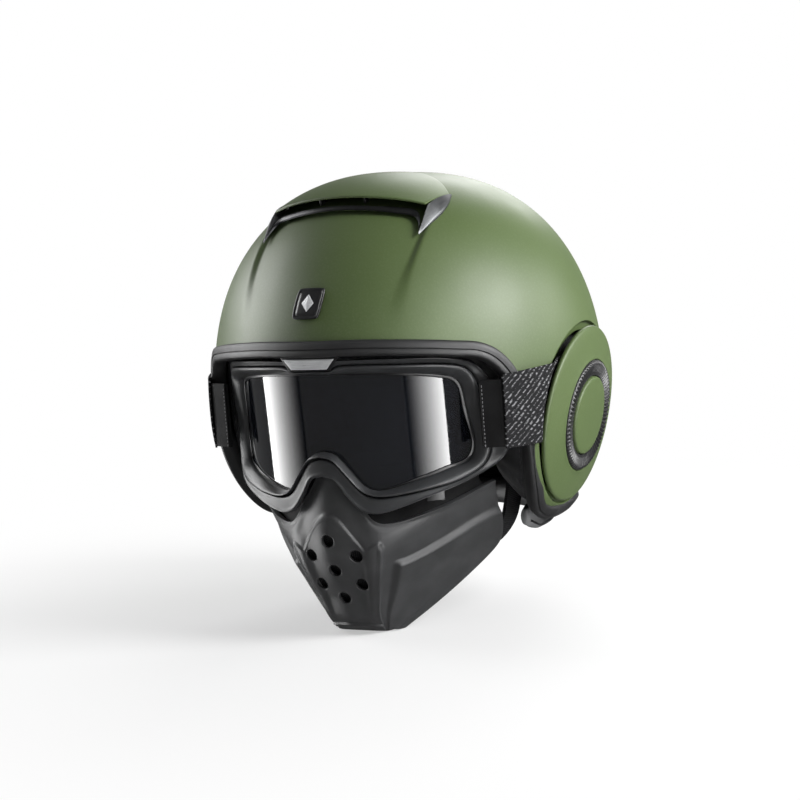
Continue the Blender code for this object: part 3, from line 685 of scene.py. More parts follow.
def make_webbing():
    """Flat nylon webbing with a ribbed weave across its width."""
    made = new_material("nylon_webbing", (0.016, 0.016, 0.018), 0.75)
    ribs = waves(made, 0.22, 'Y')
    along = waves(made, 0.30, 'X')
    tint(made, levels(made, combine(made, 'MULTIPLY', ribs, along), 0.3, 1.0), (0.05, 0.05, 0.054))
    relief(made, combine(made, 'ADD', ribs, along), 0.22)
    relief(made, noise(made, 5, 3, (1, 1, 1), "UV"), 0.08)
    return made


def make_knit():
    """Brushed black liner fabric."""
    made = new_material("liner_knit", (0.016, 0.017, 0.018), 0.92)
    shader_of(made).inputs["Sheen Weight"].default_value = 0.25
    tint(made, levels(made, noise(made, 420, 4), 0.45, 0.85), (0.045, 0.046, 0.05))
    relief(made, cells(made, 1300), 0.16)
    relief(made, noise(made, 160, 3), 0.25)
    return made


def make_leather(name, colour):
    """Grained artificial leather."""
    made = new_material(name, colour, 0.5)
    tint(made, levels(made, noise(made, 55, 4), 0.4, 0.9), tuple(c * 1.35 for c in colour))
    vary_roughness(made, noise(made, 200, 3), 0.42, 0.6)
    relief(made, cells(made, 900, 'DISTANCE_TO_EDGE'), 0.10)
    relief(made, noise(made, 90, 3), 0.2)
    return made


ROLL_TIP = (-0.012, 0.006)


def darken_backward(made, span, colour):
    """Turns a material to another colour from front to back over a span of Y in metres."""
    split = made.node_tree.nodes.new("ShaderNodeSeparateXYZ")
    made.node_tree.links.new(position(made), split.inputs[0])
    tint(made, levels(made, split.outputs["Y"], *span), colour)


def make_eps():
    """Moulded bead foam: pressed round cells."""
    made = new_material("bead_foam", (0.03, 0.031, 0.033), 0.85)
    beads = cells(made, 330, 'DISTANCE_TO_EDGE')
    tint(made, levels(made, beads, 0.0, 0.25), (0.055, 0.056, 0.06))
    relief(made, levels(made, beads, 0.0, 0.2), 0.25)
    return made


def make_open_foam():
    """Open-cell foam."""
    made = new_material("open_cell_foam", (0.012, 0.012, 0.013), 0.95)
    holes = cells(made, 700)
    tint(made, levels(made, holes, 0.3, 0.7), (0.035, 0.035, 0.037))
    relief(made, holes, 0.35)
    return made


def make_thread(colour):
    """Twisted sewing thread."""
    made = new_material("thread", colour, 0.7)
    relief(made, noise(made, 2500, 2, (1, 1, 3)), 0.08)
    tint(made, levels(made, noise(made, 1500, 2), 0.4, 0.8), tuple(c * 0.6 for c in colour))
    return made


def make_steel(name, colour, roughness):
    """Pressed steel with fine scratches."""
    made = new_material(name, colour, roughness, 1.0)
    scratches = noise(made, 700, 5, (6, 1, 1))
    vary_roughness(made, scratches, roughness - 0.06, roughness + 0.18)
    tint(made, levels(made, noise(made, 90, 4), 0.4, 0.8), tuple(c * 0.8 for c in colour))
    relief(made, scratches, 0.01)
    return made


paint = make_paint()
rubber = make_grained("black_rubber", (0.013, 0.013, 0.014), 0.5, 1200, 0.025)
mask_plastic = make_grained("matt_dark_plastic", (0.036, 0.0365, 0.038), 0.42, 1700, 0.03)
goggle_plastic = make_grained("soft_grey_plastic", (0.030, 0.031, 0.033), 0.38, 1900, 0.02)
black_plastic = make_grained("black_plastic", (0.008, 0.008, 0.009), 0.32, 1500, 0.02)
ring_plastic = make_grained("ring_plastic", (0.018, 0.018, 0.019), 0.34, 2200, 0.015)
clip_plastic = make_grained("clip_fabric", (0.006, 0.006, 0.0065), 0.7, 1100, 0.06)
gunmetal = make_brushed("gunmetal", (0.10, 0.103, 0.106), 0.40, (1, 0.08, 0.08))
dark_metal = make_brushed("dark_gunmetal", (0.035, 0.036, 0.038), 0.36, (1, 0.08, 0.08))
silver = make_brushed("brushed_silver", (0.66, 0.67, 0.68), 0.30, (0.06, 1, 1), 0.3)
steel = make_steel("pressed_steel", (0.5, 0.5, 0.52), 0.3)
smoke = make_lens()
elastic = make_elastic()
webbing = make_webbing()
knit = make_knit()
pad_leather = make_leather("pad_leather", (0.02, 0.0205, 0.022))
roll_leather = make_leather("roll_leather", (0.24, 0.242, 0.248))
darken_backward(roll_leather, ROLL_TIP, (0.03, 0.0305, 0.032))
bead_foam = make_eps()
open_foam = make_open_foam()
thread = make_thread((0.25, 0.25, 0.26))
dark_thread = make_thread((0.07, 0.07, 0.075))
for fabric in (clip_plastic, elastic, webbing, knit):
    shader_of(fabric).inputs["Specular IOR Level"].default_value = 0.15


# ---------------------------------------------------------------- shell, trim and liners

def shell_sheet(depth, azimuth, polar, shares):
    """Rings of shell points; the inner side follows the ear pockets."""
    if depth == 0:
        return rings_to(azimuth, polar, shares, outer)
    return rings_to(azimuth, polar, shares, lambda a, p: skin(a, p, depth, pocketed))


def open_pockets(points, faces):
    """Removes the faces over the ear pockets and pulls the hole's edge on to a circle."""
    faces = np.asarray(faces)
    for side in (1, -1):
        m = disc_frame(side)
        local = moved(points, m.inverted())
        reach = np.hypot(local[:, 0], local[:, 1])
        near = (points[:, 0] * side > 0) & (reach < POCKET_CUT)
        inside = near[faces]
        edge = np.unique(faces[inside.any(1) & ~inside.all(1)])
        edge = edge[near[edge]]
        scale = POCKET_CUT / reach[edge]
        x, y = local[edge, 0] * scale, local[edge, 1] * scale
        points[edge] = moved(np.stack((x, y, local_height(side, x, y)), -1), m)
        faces = faces[~inside.all(1)]
    return faces


def pocket_patch(side):
    """The moulded lip, wall and floor of an ear pocket."""
    m = disc_frame(side)
    angle = np.linspace(0, 2 * pi, 288, endpoint=False)
    rows = []
    for r in (61.03, 60.4, 59.8, 59.3, 58.9, 58.5, 58.2, 57.9, 57.6, 57.3, 57, 56, 52):
        x, y = r * np.cos(angle), r * np.sin(angle)
        wall = 13 * (max(0.0, r - POCKET_RADIUS) / 2.2) ** 2
        floor = pocket_floor(side, x) + wall
        height = local_height(side, x, y)
        blend = 0.45
        low = -blend * np.log(np.exp(-height / blend) + np.exp(-np.minimum(floor, 40) / blend))
        rows.append(moved(np.stack((x, y, low), -1), m))
    return np.stack(rows)


def make_shell():
    """The lacquered shell with its forehead scoop and crisp ear pockets."""
    azimuth, polar = rim_line(290)
    shares = np.concatenate((np.linspace(0.004, 0.4, 34)[:-1], np.linspace(0.4, 1, 104)))
    top = shell_sheet(0, azimuth, polar, shares)
    under = shell_sheet(SHELL_WALL, azimuth, polar, shares[::-3][::-1])[::-1]
    rings, around = top.shape[:2]
    points = np.concatenate((top, under)).reshape(-1, 3)
    faces = grid_faces(rings + len(under), around, wrap_columns=True)
    faces = open_pockets(points, faces)
    stacks, lists = [points], [faces.tolist(), [list(range(around))]]
    for side in (1, -1):
        patch = pocket_patch(side)
        start = sum(len(stack) for stack in stacks)
        lists.append(grid_faces(*patch.shape[:2], wrap_columns=True, start=start))
        stacks.append(patch.reshape(-1, 3))
    shell = build("shell", np.concatenate(stacks), sum(lists, []), paint, sharp=50)
    return own(shell, "helmet", "green", "outer_shell")


def own(piece, body, slot_name, *nodes):
    """The piece rides on a body and stands for CAD nodes; slot_name is not used."""
    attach(piece, body)
    if nodes:
        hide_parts(*nodes)
    return piece


def middle_of(node):
    """The middle of a CAD part's box, in layout millimetres."""
    low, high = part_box(node)
    return np.array((low + high) / 2) / MM - PLACE


def make_trim():
    """Rubber edging in two steps, pushed over the shell's free edge."""
    azimuth, polar = rim_line(230)
    points, normals, edgeward = rim_frames(azimuth, polar)
    band_azimuth, band_polar = inset(azimuth, polar, 7.2)
    leg = skin(band_azimuth, band_polar, 0.0, pocketed)
    outside = ((0.1, 1.0), (1.5, 0.97), (2.5, 0.85), (2.7, 0.55), (2.7, 0.30), (2.0, 0.22),
               (2.3, 0.10), (2.6, -0.06), (2.3, -0.22), (1.2, -0.33), (-0.6, -0.36))
    inside = ((-2.6, -0.36), (-5.4, -0.30), (-6.6, -0.1), (-7.4, 0.3), (-7.4, 0.95), (-4.6, 1.0))
    sections = []
    for out, back in outside + inside:
        base = points + (leg - points) * max(back, 0.0) + edgeward * (max(-back, 0.0) * 7.2)
        sections.append(base + normals * out)
    piece = sweep("edge_trim_rubber", np.stack(sections, 1), rubber, ring=True, sharp=50)
    own(piece, "helmet", "rubber", "edge_trim")


FOAM_DEPTH = 27.0
FOAM_EXTRA_AT_EARS = 9.0


def inner_depth(azimuth, polar, extra):
    """Points on the foam liner's inner surface, or deeper by an extra."""
    thicker = FOAM_EXTRA_AT_EARS * np.sin(polar) * np.sin(azimuth) ** 2
    return skin(azimuth, polar, FOAM_DEPTH + thicker + extra)


def make_foam_liner():
    """The bead foam that absorbs the blow."""
    azimuth, polar = rim_line(80)
    azimuth, polar = inset(azimuth, polar, 14)
    shares = np.linspace(0.02, 1, 26)
    outside = rings_to(azimuth, polar, shares, lambda a, p: skin(
        a, p, 8.0, lambda b, q: pocketed(b, q, 8.0)))
    inside = rings_to(azimuth, polar, shares, lambda a, p: inner_depth(a, p, 0.0))
    return own(cup("bead_foam_liner", outside, inside, bead_foam), "helmet", "foam", "eps_liner")


def make_comfort_liner():
    """Padded lining in eight gores with sewn channels between them."""
    azimuth, polar = rim_line(180)
    azimuth, polar = inset(azimuth, polar, 18)
    polar = np.minimum(polar, polar_at(azimuth, 18.0))
    shares = np.linspace(0.02, 1, 60)
    outside = rings_to(azimuth, polar, shares, lambda a, p: inner_depth(a, p, 2.0))

    def padded(share):
        around, down = azimuth, polar * share
        gore = np.abs(np.sin(4 * around)) ** 0.45
        band = np.abs(np.sin(pi * down / 0.62)) ** 0.35
        edge = ramp(1.02 - share, 0.0, 0.08)
        return inner_depth(around, down, 3.0 + 6.0 * gore * band * edge)

    rows = [padded(share) for share in shares]
    lining = cup("lining", outside, np.stack(rows), knit, sharp=60)
    parts = [lining]
    for k in range(8):
        place = np.linspace(0.12, 0.9, 40)
        a = np.full(40, (k + 0.06) * pi / 4)
        p = place * np.interp(a[0], np.sort(azimuth % (2 * pi)),
                              polar[np.argsort(azimuth % (2 * pi))])
        line = inner_depth(a, p, 3.9)
        parts.append(stitches("seam", line, -normals_at(line), dark_thread, 3.0, 4.4, 0.35))
    return own(join("comfort_lining", parts), "helmet", "liner", "comfort_liner")


def make_liner_lip():
    """The soft lip of the lining inside the edge trim, thickest beside the cheeks."""
    azimuth, polar = rim_line(200)
    keep = np.abs(np.degrees(azimuth)) < 97
    order = np.argsort(azimuth[keep])
    azimuth, polar = azimuth[keep][order], polar[keep][order]
    points = skin(azimuth, polar)
    shape = rounded(((7.9, 5.0), (8.6, 0.6), (16, -1.2), (25, 0.0), (30, 6.5), (30, 17), (8.2, 13.5)),
                    4.0, 6)
    crease = 0.35 * np.sin(np.arange(len(azimuth)) * 0.9)
    cheek = ramp(-points[:, 2], -26, 8)
    along = unit(np.gradient(points, axis=0))
    normals = normals_at(points)
    edgeward = unit(np.cross(along, normals))
    sections = []
    for deep, back in shape:
        wrinkle = crease * (1 if back < 2 else 0)
        deeper = deep + cheek * 17 * ramp(deep, 12, 30)
        sections.append(points - normals * deeper[:, None] - edgeward * (back + wrinkle)[:, None])
    lip = sweep("lip", np.stack(sections, 1), pad_leather, sharp=60)
    line = points - normals * 10.5 - edgeward * 0.05
    seam = stitches("lip_seam", line[6:-6], edgeward[6:-6], dark_thread, 2.6, 4.0, 0.3)
    return own(join("liner_lip", [lip, seam]), "helmet", "leatherette")


AIR_PRESSURE = 4.0
AIR_FRAMES = 20


def plump(piece, voxel, cap):
    """Blows a soft piece up a little with a short cloth run, kept within a cap in millimetres."""
    even = piece.modifiers.new("even", 'REMESH')
    even.mode = 'VOXEL'
    even.voxel_size = voxel * MM
    bake(piece)
    count = len(piece.data.vertices)
    start = np.zeros(count * 3, np.float32)
    piece.data.vertices.foreach_get("co", start)
    scene = bpy.context.scene
    cloth = piece.modifiers.new("air", 'CLOTH')
    cloth.settings.quality = 5
    cloth.settings.mass = 0.3
    cloth.settings.use_pressure = True
    cloth.settings.uniform_pressure_force = AIR_PRESSURE
    cloth.settings.effector_weights.gravity = 0
    cloth.point_cache.frame_start = 1
    cloth.point_cache.frame_end = AIR_FRAMES
    for tick in range(1, AIR_FRAMES + 1):
        scene.frame_set(tick)
    bake(piece)
    scene.frame_set(1)
    end = np.zeros(count * 3, np.float32)
    piece.data.vertices.foreach_get("co", end)
    move = (end - start).reshape(-1, 3)
    length = np.linalg.norm(move, axis=1, keepdims=True)
    move *= np.minimum(1, cap * MM / np.maximum(length, 1e-9))
    piece.data.vertices.foreach_set("co", (start.reshape(-1, 3) + move).ravel())
    piece.data.shade_smooth()
    smooth = piece.modifiers.new("smooth", 'SUBSURF')
    smooth.levels = smooth.render_levels = 1
    return piece


def bake(piece):
    """Applies a piece's modifiers."""
    graph = bpy.context.evaluated_depsgraph_get()
    graph.update()
    data = bpy.data.meshes.new_from_object(piece.evaluated_get(graph))
    own_material = piece.data.materials[0]
    piece.modifiers.clear()
    piece.data = data
    data.materials.clear()
    data.materials.append(own_material)


def make_cheek_pad(side, label):
    """A cushion against the cheek, plumped and sewn round its face."""
    azimuth = np.radians(side * np.linspace(75.5, 111.5, 14))
    height = np.linspace(1.5, -49, 12)
    a, z = np.meshgrid(azimuth, height)
    front, back = skin(a, polar_at(a, z), 50.5), skin(a, polar_at(a, z), 44.0)
    rows, columns = front.shape[:2]
    edge = [(0, c) for c in range(columns)] + [(r, columns - 1) for r in range(1, rows)]
    edge += [(rows - 1, c) for c in range(columns - 2, -1, -1)] + [(r, 0) for r in range(rows - 2, 0, -1)]
    near = [r * columns + c for r, c in edge]
    walls = [[i, j, j + rows * columns, i + rows * columns] for i, j in zip(near, near[1:] + near[:1])]
    points = np.concatenate((front.reshape(-1, 3), back.reshape(-1, 3)))
    faces = grid_faces(rows, columns) + grid_faces(rows, columns, start=rows * columns) + walls
    pad = plump(build("cheek_cushion_" + label, points, faces, knit), 4.0, 2.2)
    own(pad, "helmet", "liner", "cheek_pad_" + label)
    ring = through([front[r, c] for r, c in edge][::4], 5, ring=True)
    piping = cord("cheek_piping_" + label, ring, 0.9, pad_leather, ring=True)
    own(piping, "helmet", "leatherette")


def neck_sections(steps):
    """Sections of the neck roll from one ear lobe round the back to the other."""
    sections, seam = [], []
    for k in range(steps + 1):
        turn = 2 * k / steps - 1
        azimuth = radians(180 + 99 * turn)
        edge = egg(azimuth, polar_at(azimuth, -66))
        inward = unit(np.array((-edge[0], AXIS_Y - edge[1], 0)))
        taper = 1 - 0.42 * ramp(abs(turn), 0.9, 1.0)
        shape = rounded(((17.5, -66), (16.8, -76), (16, -81), (19, -84.3), (25, -83.5), (28.4, -77),
                         (28.4, -68), (22, -64)), 3.5, 3)
        middle = np.array((22.5, -74))
        wrinkle = 0.35 * sin(k * 1.9) + 0.25 * sin(k * 0.7)
        shape = middle + (shape - middle) * (taper + wrinkle * 0.06 / 8)
        sections.append([edge + inward * deep + np.array((0, 0, z + 66)) for deep, z in shape])
        seam.append(edge + inward * (22.5 - 6.3 * taper) + np.array((0, 0, -13 * taper - 2)))
    return np.array(sections), np.array(seam)


def make_neck_roll():
    """The padded roll round the neck, sewn along its outer side."""
    sections, seam = neck_sections(150)
    roll = plump(sweep("neck_roll_leather", sections, roll_leather), 3.0, 1.2)
    own(roll, "helmet", "leatherette", "neck_roll")
    own(cord("neck_piping", seam[2:-2], 0.7, pad_leather), "helmet", "leatherette")


# ---------------------------------------------------------------- vents and badge

VENT_HALF = 50.0
VENT_COVER_HALF = 50.5
VENT_FRONT = -70.0
VENT_CORNER = -59.0
VENT_RISE = 5.0


def vent_lip(x):
    """How far forward the intake's lip reaches at a distance from the centre."""
    return VENT_FRONT + (VENT_CORNER - VENT_FRONT) * (x / VENT_HALF) ** 2


def cover_grid(rows, columns):
    """The vent cover's top: a raised lip in front that runs out into the crown."""
    t, s = np.meshgrid(np.linspace(0, 1, rows), np.linspace(-1, 1, columns), indexing="ij")
    front_x = VENT_COVER_HALF * s
    front_y = vent_lip(front_x)
    back_x, back_y = 56 * s, -35 + 29 * (1 - np.abs(s) ** 2.4)
    x = front_x + (back_x - front_x) * t
    y = front_y + (back_y - front_y) * t
    lift = 1.1 + (VENT_RISE + 0.6) * (1 - t) ** 0.9 * (1 - 0.15 * s ** 6)
    return x, y, lift


def make_vent_cover():
    """The green cover whose raised front lip makes the air scoop."""
    x, y, lift = cover_grid(40, 90)
    cover = sheet("vent_cover_shell", over(x, y, -lift + 0.7), paint, 1.5, 0.45, sharp=60)
    own(cover, "helmet", "green", "vent_cover")


def make_vent_intake():
    """The dark recessed wall under the lip, with two dividers and a lower lip."""
    x = np.linspace(-48, 48, 90)
    rows = []
    for back, lift in ((3.0, 5.2), (5.5, 4.2), (8.0, 2.6), (9.5, 0.4)):
        rows.append(over(x, vent_lip(x) + back, -lift))
    parts = [sheet("wall", np.stack(rows), black_plastic)]
    path = curve(((-54, -76.5), (-51.5, -70), (-46.5, -66.5), (-36, -69.6), (-18, -73.4), (0, -74.4),
                  (18, -73.4), (36, -69.6), (46.5, -66.5), (51.5, -70), (54, -76.5)), 120)
    inner = np.stack((path[:, 0] * 0.985, path[:, 1] + 2.6 + 1.4 * ramp(np.abs(path[:, 0]), 20, 46)), -1)
    sections = []
    for share, rise in ((0, 0.0), (0.05, 0.9), (0.35, 1.7), (0.75, 1.9), (1.0, 1.5), (1.25, 0.1)):
        spot = path + (inner - path) * share
        taper = 0.35 + 0.65 * ramp(54.5 - np.abs(path[:, 0]), 0, 5)
        sections.append(over(spot[:, 0], spot[:, 1], -rise * taper))
    parts.append(sweep("lip", np.stack(sections, 1), dark_metal, sharp=60))
    for x0 in (-15, 15):
        wall = over(np.array((x0, x0)), np.array((vent_lip(x0) + 1.2, vent_lip(x0) + 7)), -2.6)
        parts.append(block("divider", wall.mean(0), (1.3, 6.4, 4.6), Matrix.Rotation(0.25, 3, 'X'),
                           black_plastic, 0.3))
    own(join("vent_intake_wall", parts), "helmet", "black_plastic", "vent_intake")


def make_vent_shutter():
    """The sliding plug of the air slot with a ribbed thumb grip."""
    middle = middle_of("vent_shutter")
    parts = [block("plug", middle, (24, 5.4, 1.1), Matrix.Rotation(0.16, 3, 'X'), black_plastic, 0.3)]
    for k in range(5):
        spot = middle + np.array((-4 + 2 * k, -0.4, 0.55))
        parts.append(block("rib", spot, (0.7, 3.6, 0.5), Matrix.Rotation(0.16, 3, 'X'), gunmetal, 0.15))
    own(join("vent_slider", parts), "vent_shutter", "black_plastic", "vent_shutter")


def make_vent_wing(side, label):
    """The tapering gunmetal cheek at each end of the air scoop."""
    steps = 40
    inside = evenly(np.array(((55.6, -33.5), (53.4, -46), (51.2, -58.2), (52.3, -64), (53.0, -69),
                              (53.6, -75))), steps)
    outside = curve(((56.4, -32.5), (59.0, -42), (59.6, -53), (57.6, -64), (54.2, -75.6)), steps)
    share = np.linspace(0, 1, steps + 1)
    high = 1.0 + 4.2 * np.sin(pi * np.minimum(share / 0.62, 1) * 0.5) * (1 - ramp(share, 0.5, 1.0))
    sections = []
    profile = ((0, 0.1), (0, 0.85), (0.08, 1.0), (0.5, 0.72), (0.86, 0.45), (1.0, 0.3), (1.02, 0.0))
    for across, rise in profile:
        spot = inside + (outside - inside) * across
        sections.append(over(side * spot[:, 0], spot[:, 1], -(0.2 + high * rise)))
    wing = sweep("vent_cheek_" + label, np.stack(sections, 1), gunmetal, sharp=60)
    own(wing, "helmet", "metal", "vent_wing_" + label)


def make_rear_exhaust():
    """The low extractor pod at the back, with upright fins in a frame."""
    def pod(u, z, rise):
        azimuth = np.radians(180 + 22 * u)
        return skin(azimuth, polar_at(azimuth, z), -rise)

    t, s = np.meshgrid(np.linspace(-1, 1, 24), np.linspace(-1, 1, 80), indexing="ij")
    height = 58 + 8.2 * t * (1 - 0.35 * np.abs(s) ** 2.2)
    rise = 0.2 + 4.0 * (1 - np.abs(t) ** 4) * (1 - np.abs(s) ** 6)
    parts = [sheet("pod", pod(s, height, rise), black_plastic, sharp=60)]
    loop = rounded(((-78, 55.2), (78, 55.2), (78, 61.2), (-78, 61.2)), 2.5, 5)
    frame_line = through(loop, 6, ring=True)
    places = pod(frame_line[:, 0] / 100, frame_line[:, 1], np.full(len(frame_line), 4.2))
    parts.append(cord("grille_frame", places, 0.6, black_plastic, ring=True))
    for k in range(17):
        z = np.linspace(55.4, 61.0, 8)
        places = pod(np.full(8, (k - 8) * 0.09), z, np.full(8, 4.2))
        parts.append(cord("fin", places, 0.5, black_plastic))
    own(join("rear_extractor", parts), "helmet", "black_plastic", "rear_exhaust")


BADGE_LEVEL = 74.5


def make_badge():
    """A blank forehead badge with a plain diamond."""
    t, s = np.meshgrid(np.linspace(-1, 1, 20), np.linspace(-1, 1, 20), indexing="ij")
    squarish = (1 - 0.10 * np.abs(t) ** 4), (1 - 0.06 * np.abs(s) ** 4)
    x = 9.3 * s * squarish[0] + 1.0 * t
    z = BADGE_LEVEL + 9.0 * t * squarish[1]
    rise = 1.6 - 0.55 * ramp(np.maximum(np.abs(s), np.abs(t)), 0.72, 0.80) * (
        1 - ramp(np.maximum(np.abs(s), np.abs(t)), 0.84, 0.9))
    plate = sheet("plate", in_front(x, z, -rise), black_plastic, 1.6, 0.5, sharp=50)
    own(join("badge_blank", [plate]), "helmet", "black_plastic", "badge_plate")
    middle = in_front(0.0, BADGE_LEVEL, -2.0)
    out = normals_at(middle)
    up = unit(np.array((0, 0, 1)) - out * out[2])
    side = np.cross(up, out)
    points, faces = [], []
    for reach, rise in ((1.0, 0.0), (0.94, 0.7), (0.0, 1.5)):
        for x, z in ((4.2, 0), (0, 5.6), (-4.2, 0), (0, -5.6)):
            points.append(middle + side * x * reach + up * z * reach + out * rise)
    faces = grid_faces(3, 4, wrap_columns=True) + [[3, 2, 1, 0]]
    own(build("badge_diamond", np.array(points), faces, silver, sharp=15, weld=0.01),
        "helmet", "metal", "badge_emblem")


# ---------------------------------------------------------------- ear discs and elastic

def make_disc(side, label):
    """The round ear cover with its knurled ring, blank cap, screw and boss."""
    m = disc_frame(side)
    face = ((4.2, -2.6), (50, -2.6), (54.6, -2.0), (55.3, -1.2), (55.5, -0.4), (55.4, 0.3),
            (54.9, 0.9), (54.0, 1.3), (52.5, 1.75), (50, 2.45), (47, 3.2), (44, 3.9), (41, 4.6),
            (38.5, 5.2), (36.6, 5.75), (35.9, 6.05), (35.5, 6.0), (35.3, 5.5), (35.3, 3.0), (4.2, 3.0))
    own(lathe("ear_disc_" + label, face, m, paint, 200, sharp=50), "helmet", "green", "side_disc_" + label)

    ribs = 76

    def knurl(r, angle):
        slope = np.clip((r - 25.6) / 2, 0, 1) * np.clip((34.6 - r) / 1.2, 0, 1)
        return 1.3 * slope * np.abs(np.sin(angle * ribs / 2)) ** 1.5

    ring = ((25.2, 3.3), (34.9, 3.3), (34.95, 6.2), (34.6, 6.8), (33.8, 7.0), (32.5, 6.9), (31, 6.6),
            (29.5, 6.3), (28, 6.15), (26.6, 6.2), (25.8, 6.5), (25.3, 6.6))
    own(lathe("knurled_ring_" + label, ring, m, ring_plastic, ribs * 8, knurl, 60),
        "helmet", "black_plastic", "ribbed_ring_" + label)
    cap = ((6.5, 3.3), (24.6, 3.3), (24.6, 6.9), (24.4, 7.5), (24.0, 7.9), (23.2, 8.15), (21.8, 8.3),
           (18, 8.65), (13, 8.95), (8, 9.15), (4, 9.22), (0, 9.25), (0, 7.0), (6.5, 7.0))
    disc_cap = lathe("blank_cap_" + label, cap, m, paint, 128, sharp=50)
    own(disc_cap, "helmet", "green", "centre_cap_" + label)
    screw = ((0, -5.7), (3.5, -5.7), (3.5, 3.3), (6, 3.3), (6, 6.2), (5.6, 6.4), (0, 6.4))
    own(lathe("ear_screw_" + label, screw, m, steel, 48), "helmet", "metal", "disc_screw_" + label)
    boss = ((4.2, -5.7), (12.7, -5.7), (13, -5.4), (13, -3.2), (12.7, -2.9), (4.2, -2.9))
    own(lathe("ear_boss_" + label, boss, m, black_plastic, 64), "helmet", "black_plastic",
        "disc_boss_" + label)


STRAP_LEVELS = (25.0, -18.6)


def make_goggle_strap(side, label):
    """Woven elastic that leaves the clip, crosses the trim and dives under the ear disc."""
    columns, rows = 120, 90
    share, level = np.meshgrid(np.linspace(0, 1, columns), np.linspace(0, 1, rows), indexing="ij")
    z = STRAP_LEVELS[0] + (STRAP_LEVELS[1] - STRAP_LEVELS[0]) * level + 3.0 * share * (1 - level)
    azimuth = side * np.radians(52.5 + 27.5 * share)
    proud = 3.9 - 0.6 * share
    points = skin(azimuth, polar_at(azimuth, z), -proud)
    m = disc_frame(side)
    local = moved(points, m.inverted())
    inside = ramp(62 - np.hypot(local[..., 0], local[..., 1]), 0, 9)
    local[..., 2] += (-4.6 - local[..., 2]) * inside
    ridge = np.sin(2 * pi * (share * 44 + level * 50) / 3.7)
    edge = ramp(np.minimum(level, 1 - level), 0, 0.03)
    local[..., 2] += (0.16 * ridge - 0.2) * edge
    band = sheet("goggle_elastic_" + label, moved(local, m), elastic, 1.2, 0.0, (44, 50), 60)
    bake(band)
    start = skin(azimuth[-1, 0], polar_at(azimuth[-1, 0], 3.0))
    stop = skin(azimuth[0, 0], polar_at(azimuth[0, 0], 3.0))
    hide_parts("goggle_strap_" + label)
    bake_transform(band)


# ---------------------------------------------------------------- goggles

def on_cylinder(degrees_round, z, radius):
    """Points on the goggle's cylinder, which leans back a little."""
    turn = np.radians(degrees_round)
    axis = LENS_FRONT + LENS_RADIUS + LENS_LEAN * (LENS_LEVEL - z)
    return np.stack(np.broadcast_arrays(radius * np.sin(turn), axis - radius * np.cos(turn), z), -1)


def outline(share, steps=120):
    """A closed outline: 0 is the opening, 1 the bezel's edge, 2 the flange's edge."""
    low, high = (BEZEL_OPENING, BEZEL) if share <= 1 else (BEZEL, FLANGE)
    part = share if share <= 1 else share - 1
    mixed = np.array(low, float) * (1 - part) + np.array(high, float) * part
    half = curve(mixed * np.array((1.6, 1)), steps) / np.array((1.6, 1))
    return np.concatenate((half, half[-2:0:-1] * np.array((-1, 1))))


def goggle_ring(name, corners, material, sharp=50):
    """A ring round the goggle through corners given as outline share and radius."""
    rings = []
    for share, radius in corners:
        line = outline(share)
        rings.append(on_cylinder(line[:, 0], line[:, 1], radius))
    return sweep(name, np.stack(rings, 1), material, ring=True, sharp=sharp)


def make_goggles():
    """Frame, inner bezel, lens, its seal and the face foam."""
    flange = ((2.0, 97.2), (2.03, 98.6), (2.0, 100.0), (1.95, 100.5), (1.88, 100.5), (1.82, 100.1),
              (1.7, 99.8), (1.4, 99.3), (1.2, 98.9), (1.13, 98.5), (1.09, 97.6), (1.06, 96.0),
              (1.06, 88.2), (1.34, 88.2), (1.34, 94.6), (1.7, 95.6))
    own(goggle_ring("goggle_flange", flange, goggle_plastic), "goggles", "dark_plastic", "goggle_frame")
    bezel = ((1.0, 93.1), (1.01, 97.0), (0.99, 99.0), (0.95, 99.9), (0.87, 100.3), (0.78, 100.3),
             (0.66, 99.9), (0.5, 98.9), (0.3, 97.2), (0.16, 95.9), (0.09, 95.0), (0.06, 94.0),
             (0.06, 93.1))
    own(goggle_ring("goggle_inner_bezel", bezel, goggle_plastic), "goggles", "dark_plastic",
        "goggle_bezel")
    foam = [(1.02, 87.4), (1.3, 87.4), (1.42, 84), (1.45, 79), (1.38, 74), (1.22, 72.4), (1.08, 74),
            (0.98, 79), (0.96, 84)]
    own(goggle_ring("goggle_face_foam", foam, open_foam), "goggles", "soft_foam", "face_foam")
    seal = ((0.10, 92.9), (0.10, 93.3), (-0.12, 93.4), (-0.16, 93.1), (-0.14, 92.85))
    own(goggle_ring("lens_seal", seal, black_plastic), "goggles", "dark_plastic")
    rings = []
    edge = outline(0.7)
    for share in np.linspace(0.0005, 1, 30):
        rings.append((edge[:, 0] * share, LENS_MIDDLE + (edge[:, 1] - LENS_MIDDLE) * share))
    sheets = [np.stack([on_cylinder(a, z, radius) for a, z in rings]) for radius in LENS_FACES]
    own(cup("goggle_smoke_lens", sheets[0], sheets[1], smoke), "goggles", "smoke", "goggle_lens")


NAMEPLATE_LEVEL = 39.1
NAMEPLATE_HEIGHT = 6.2


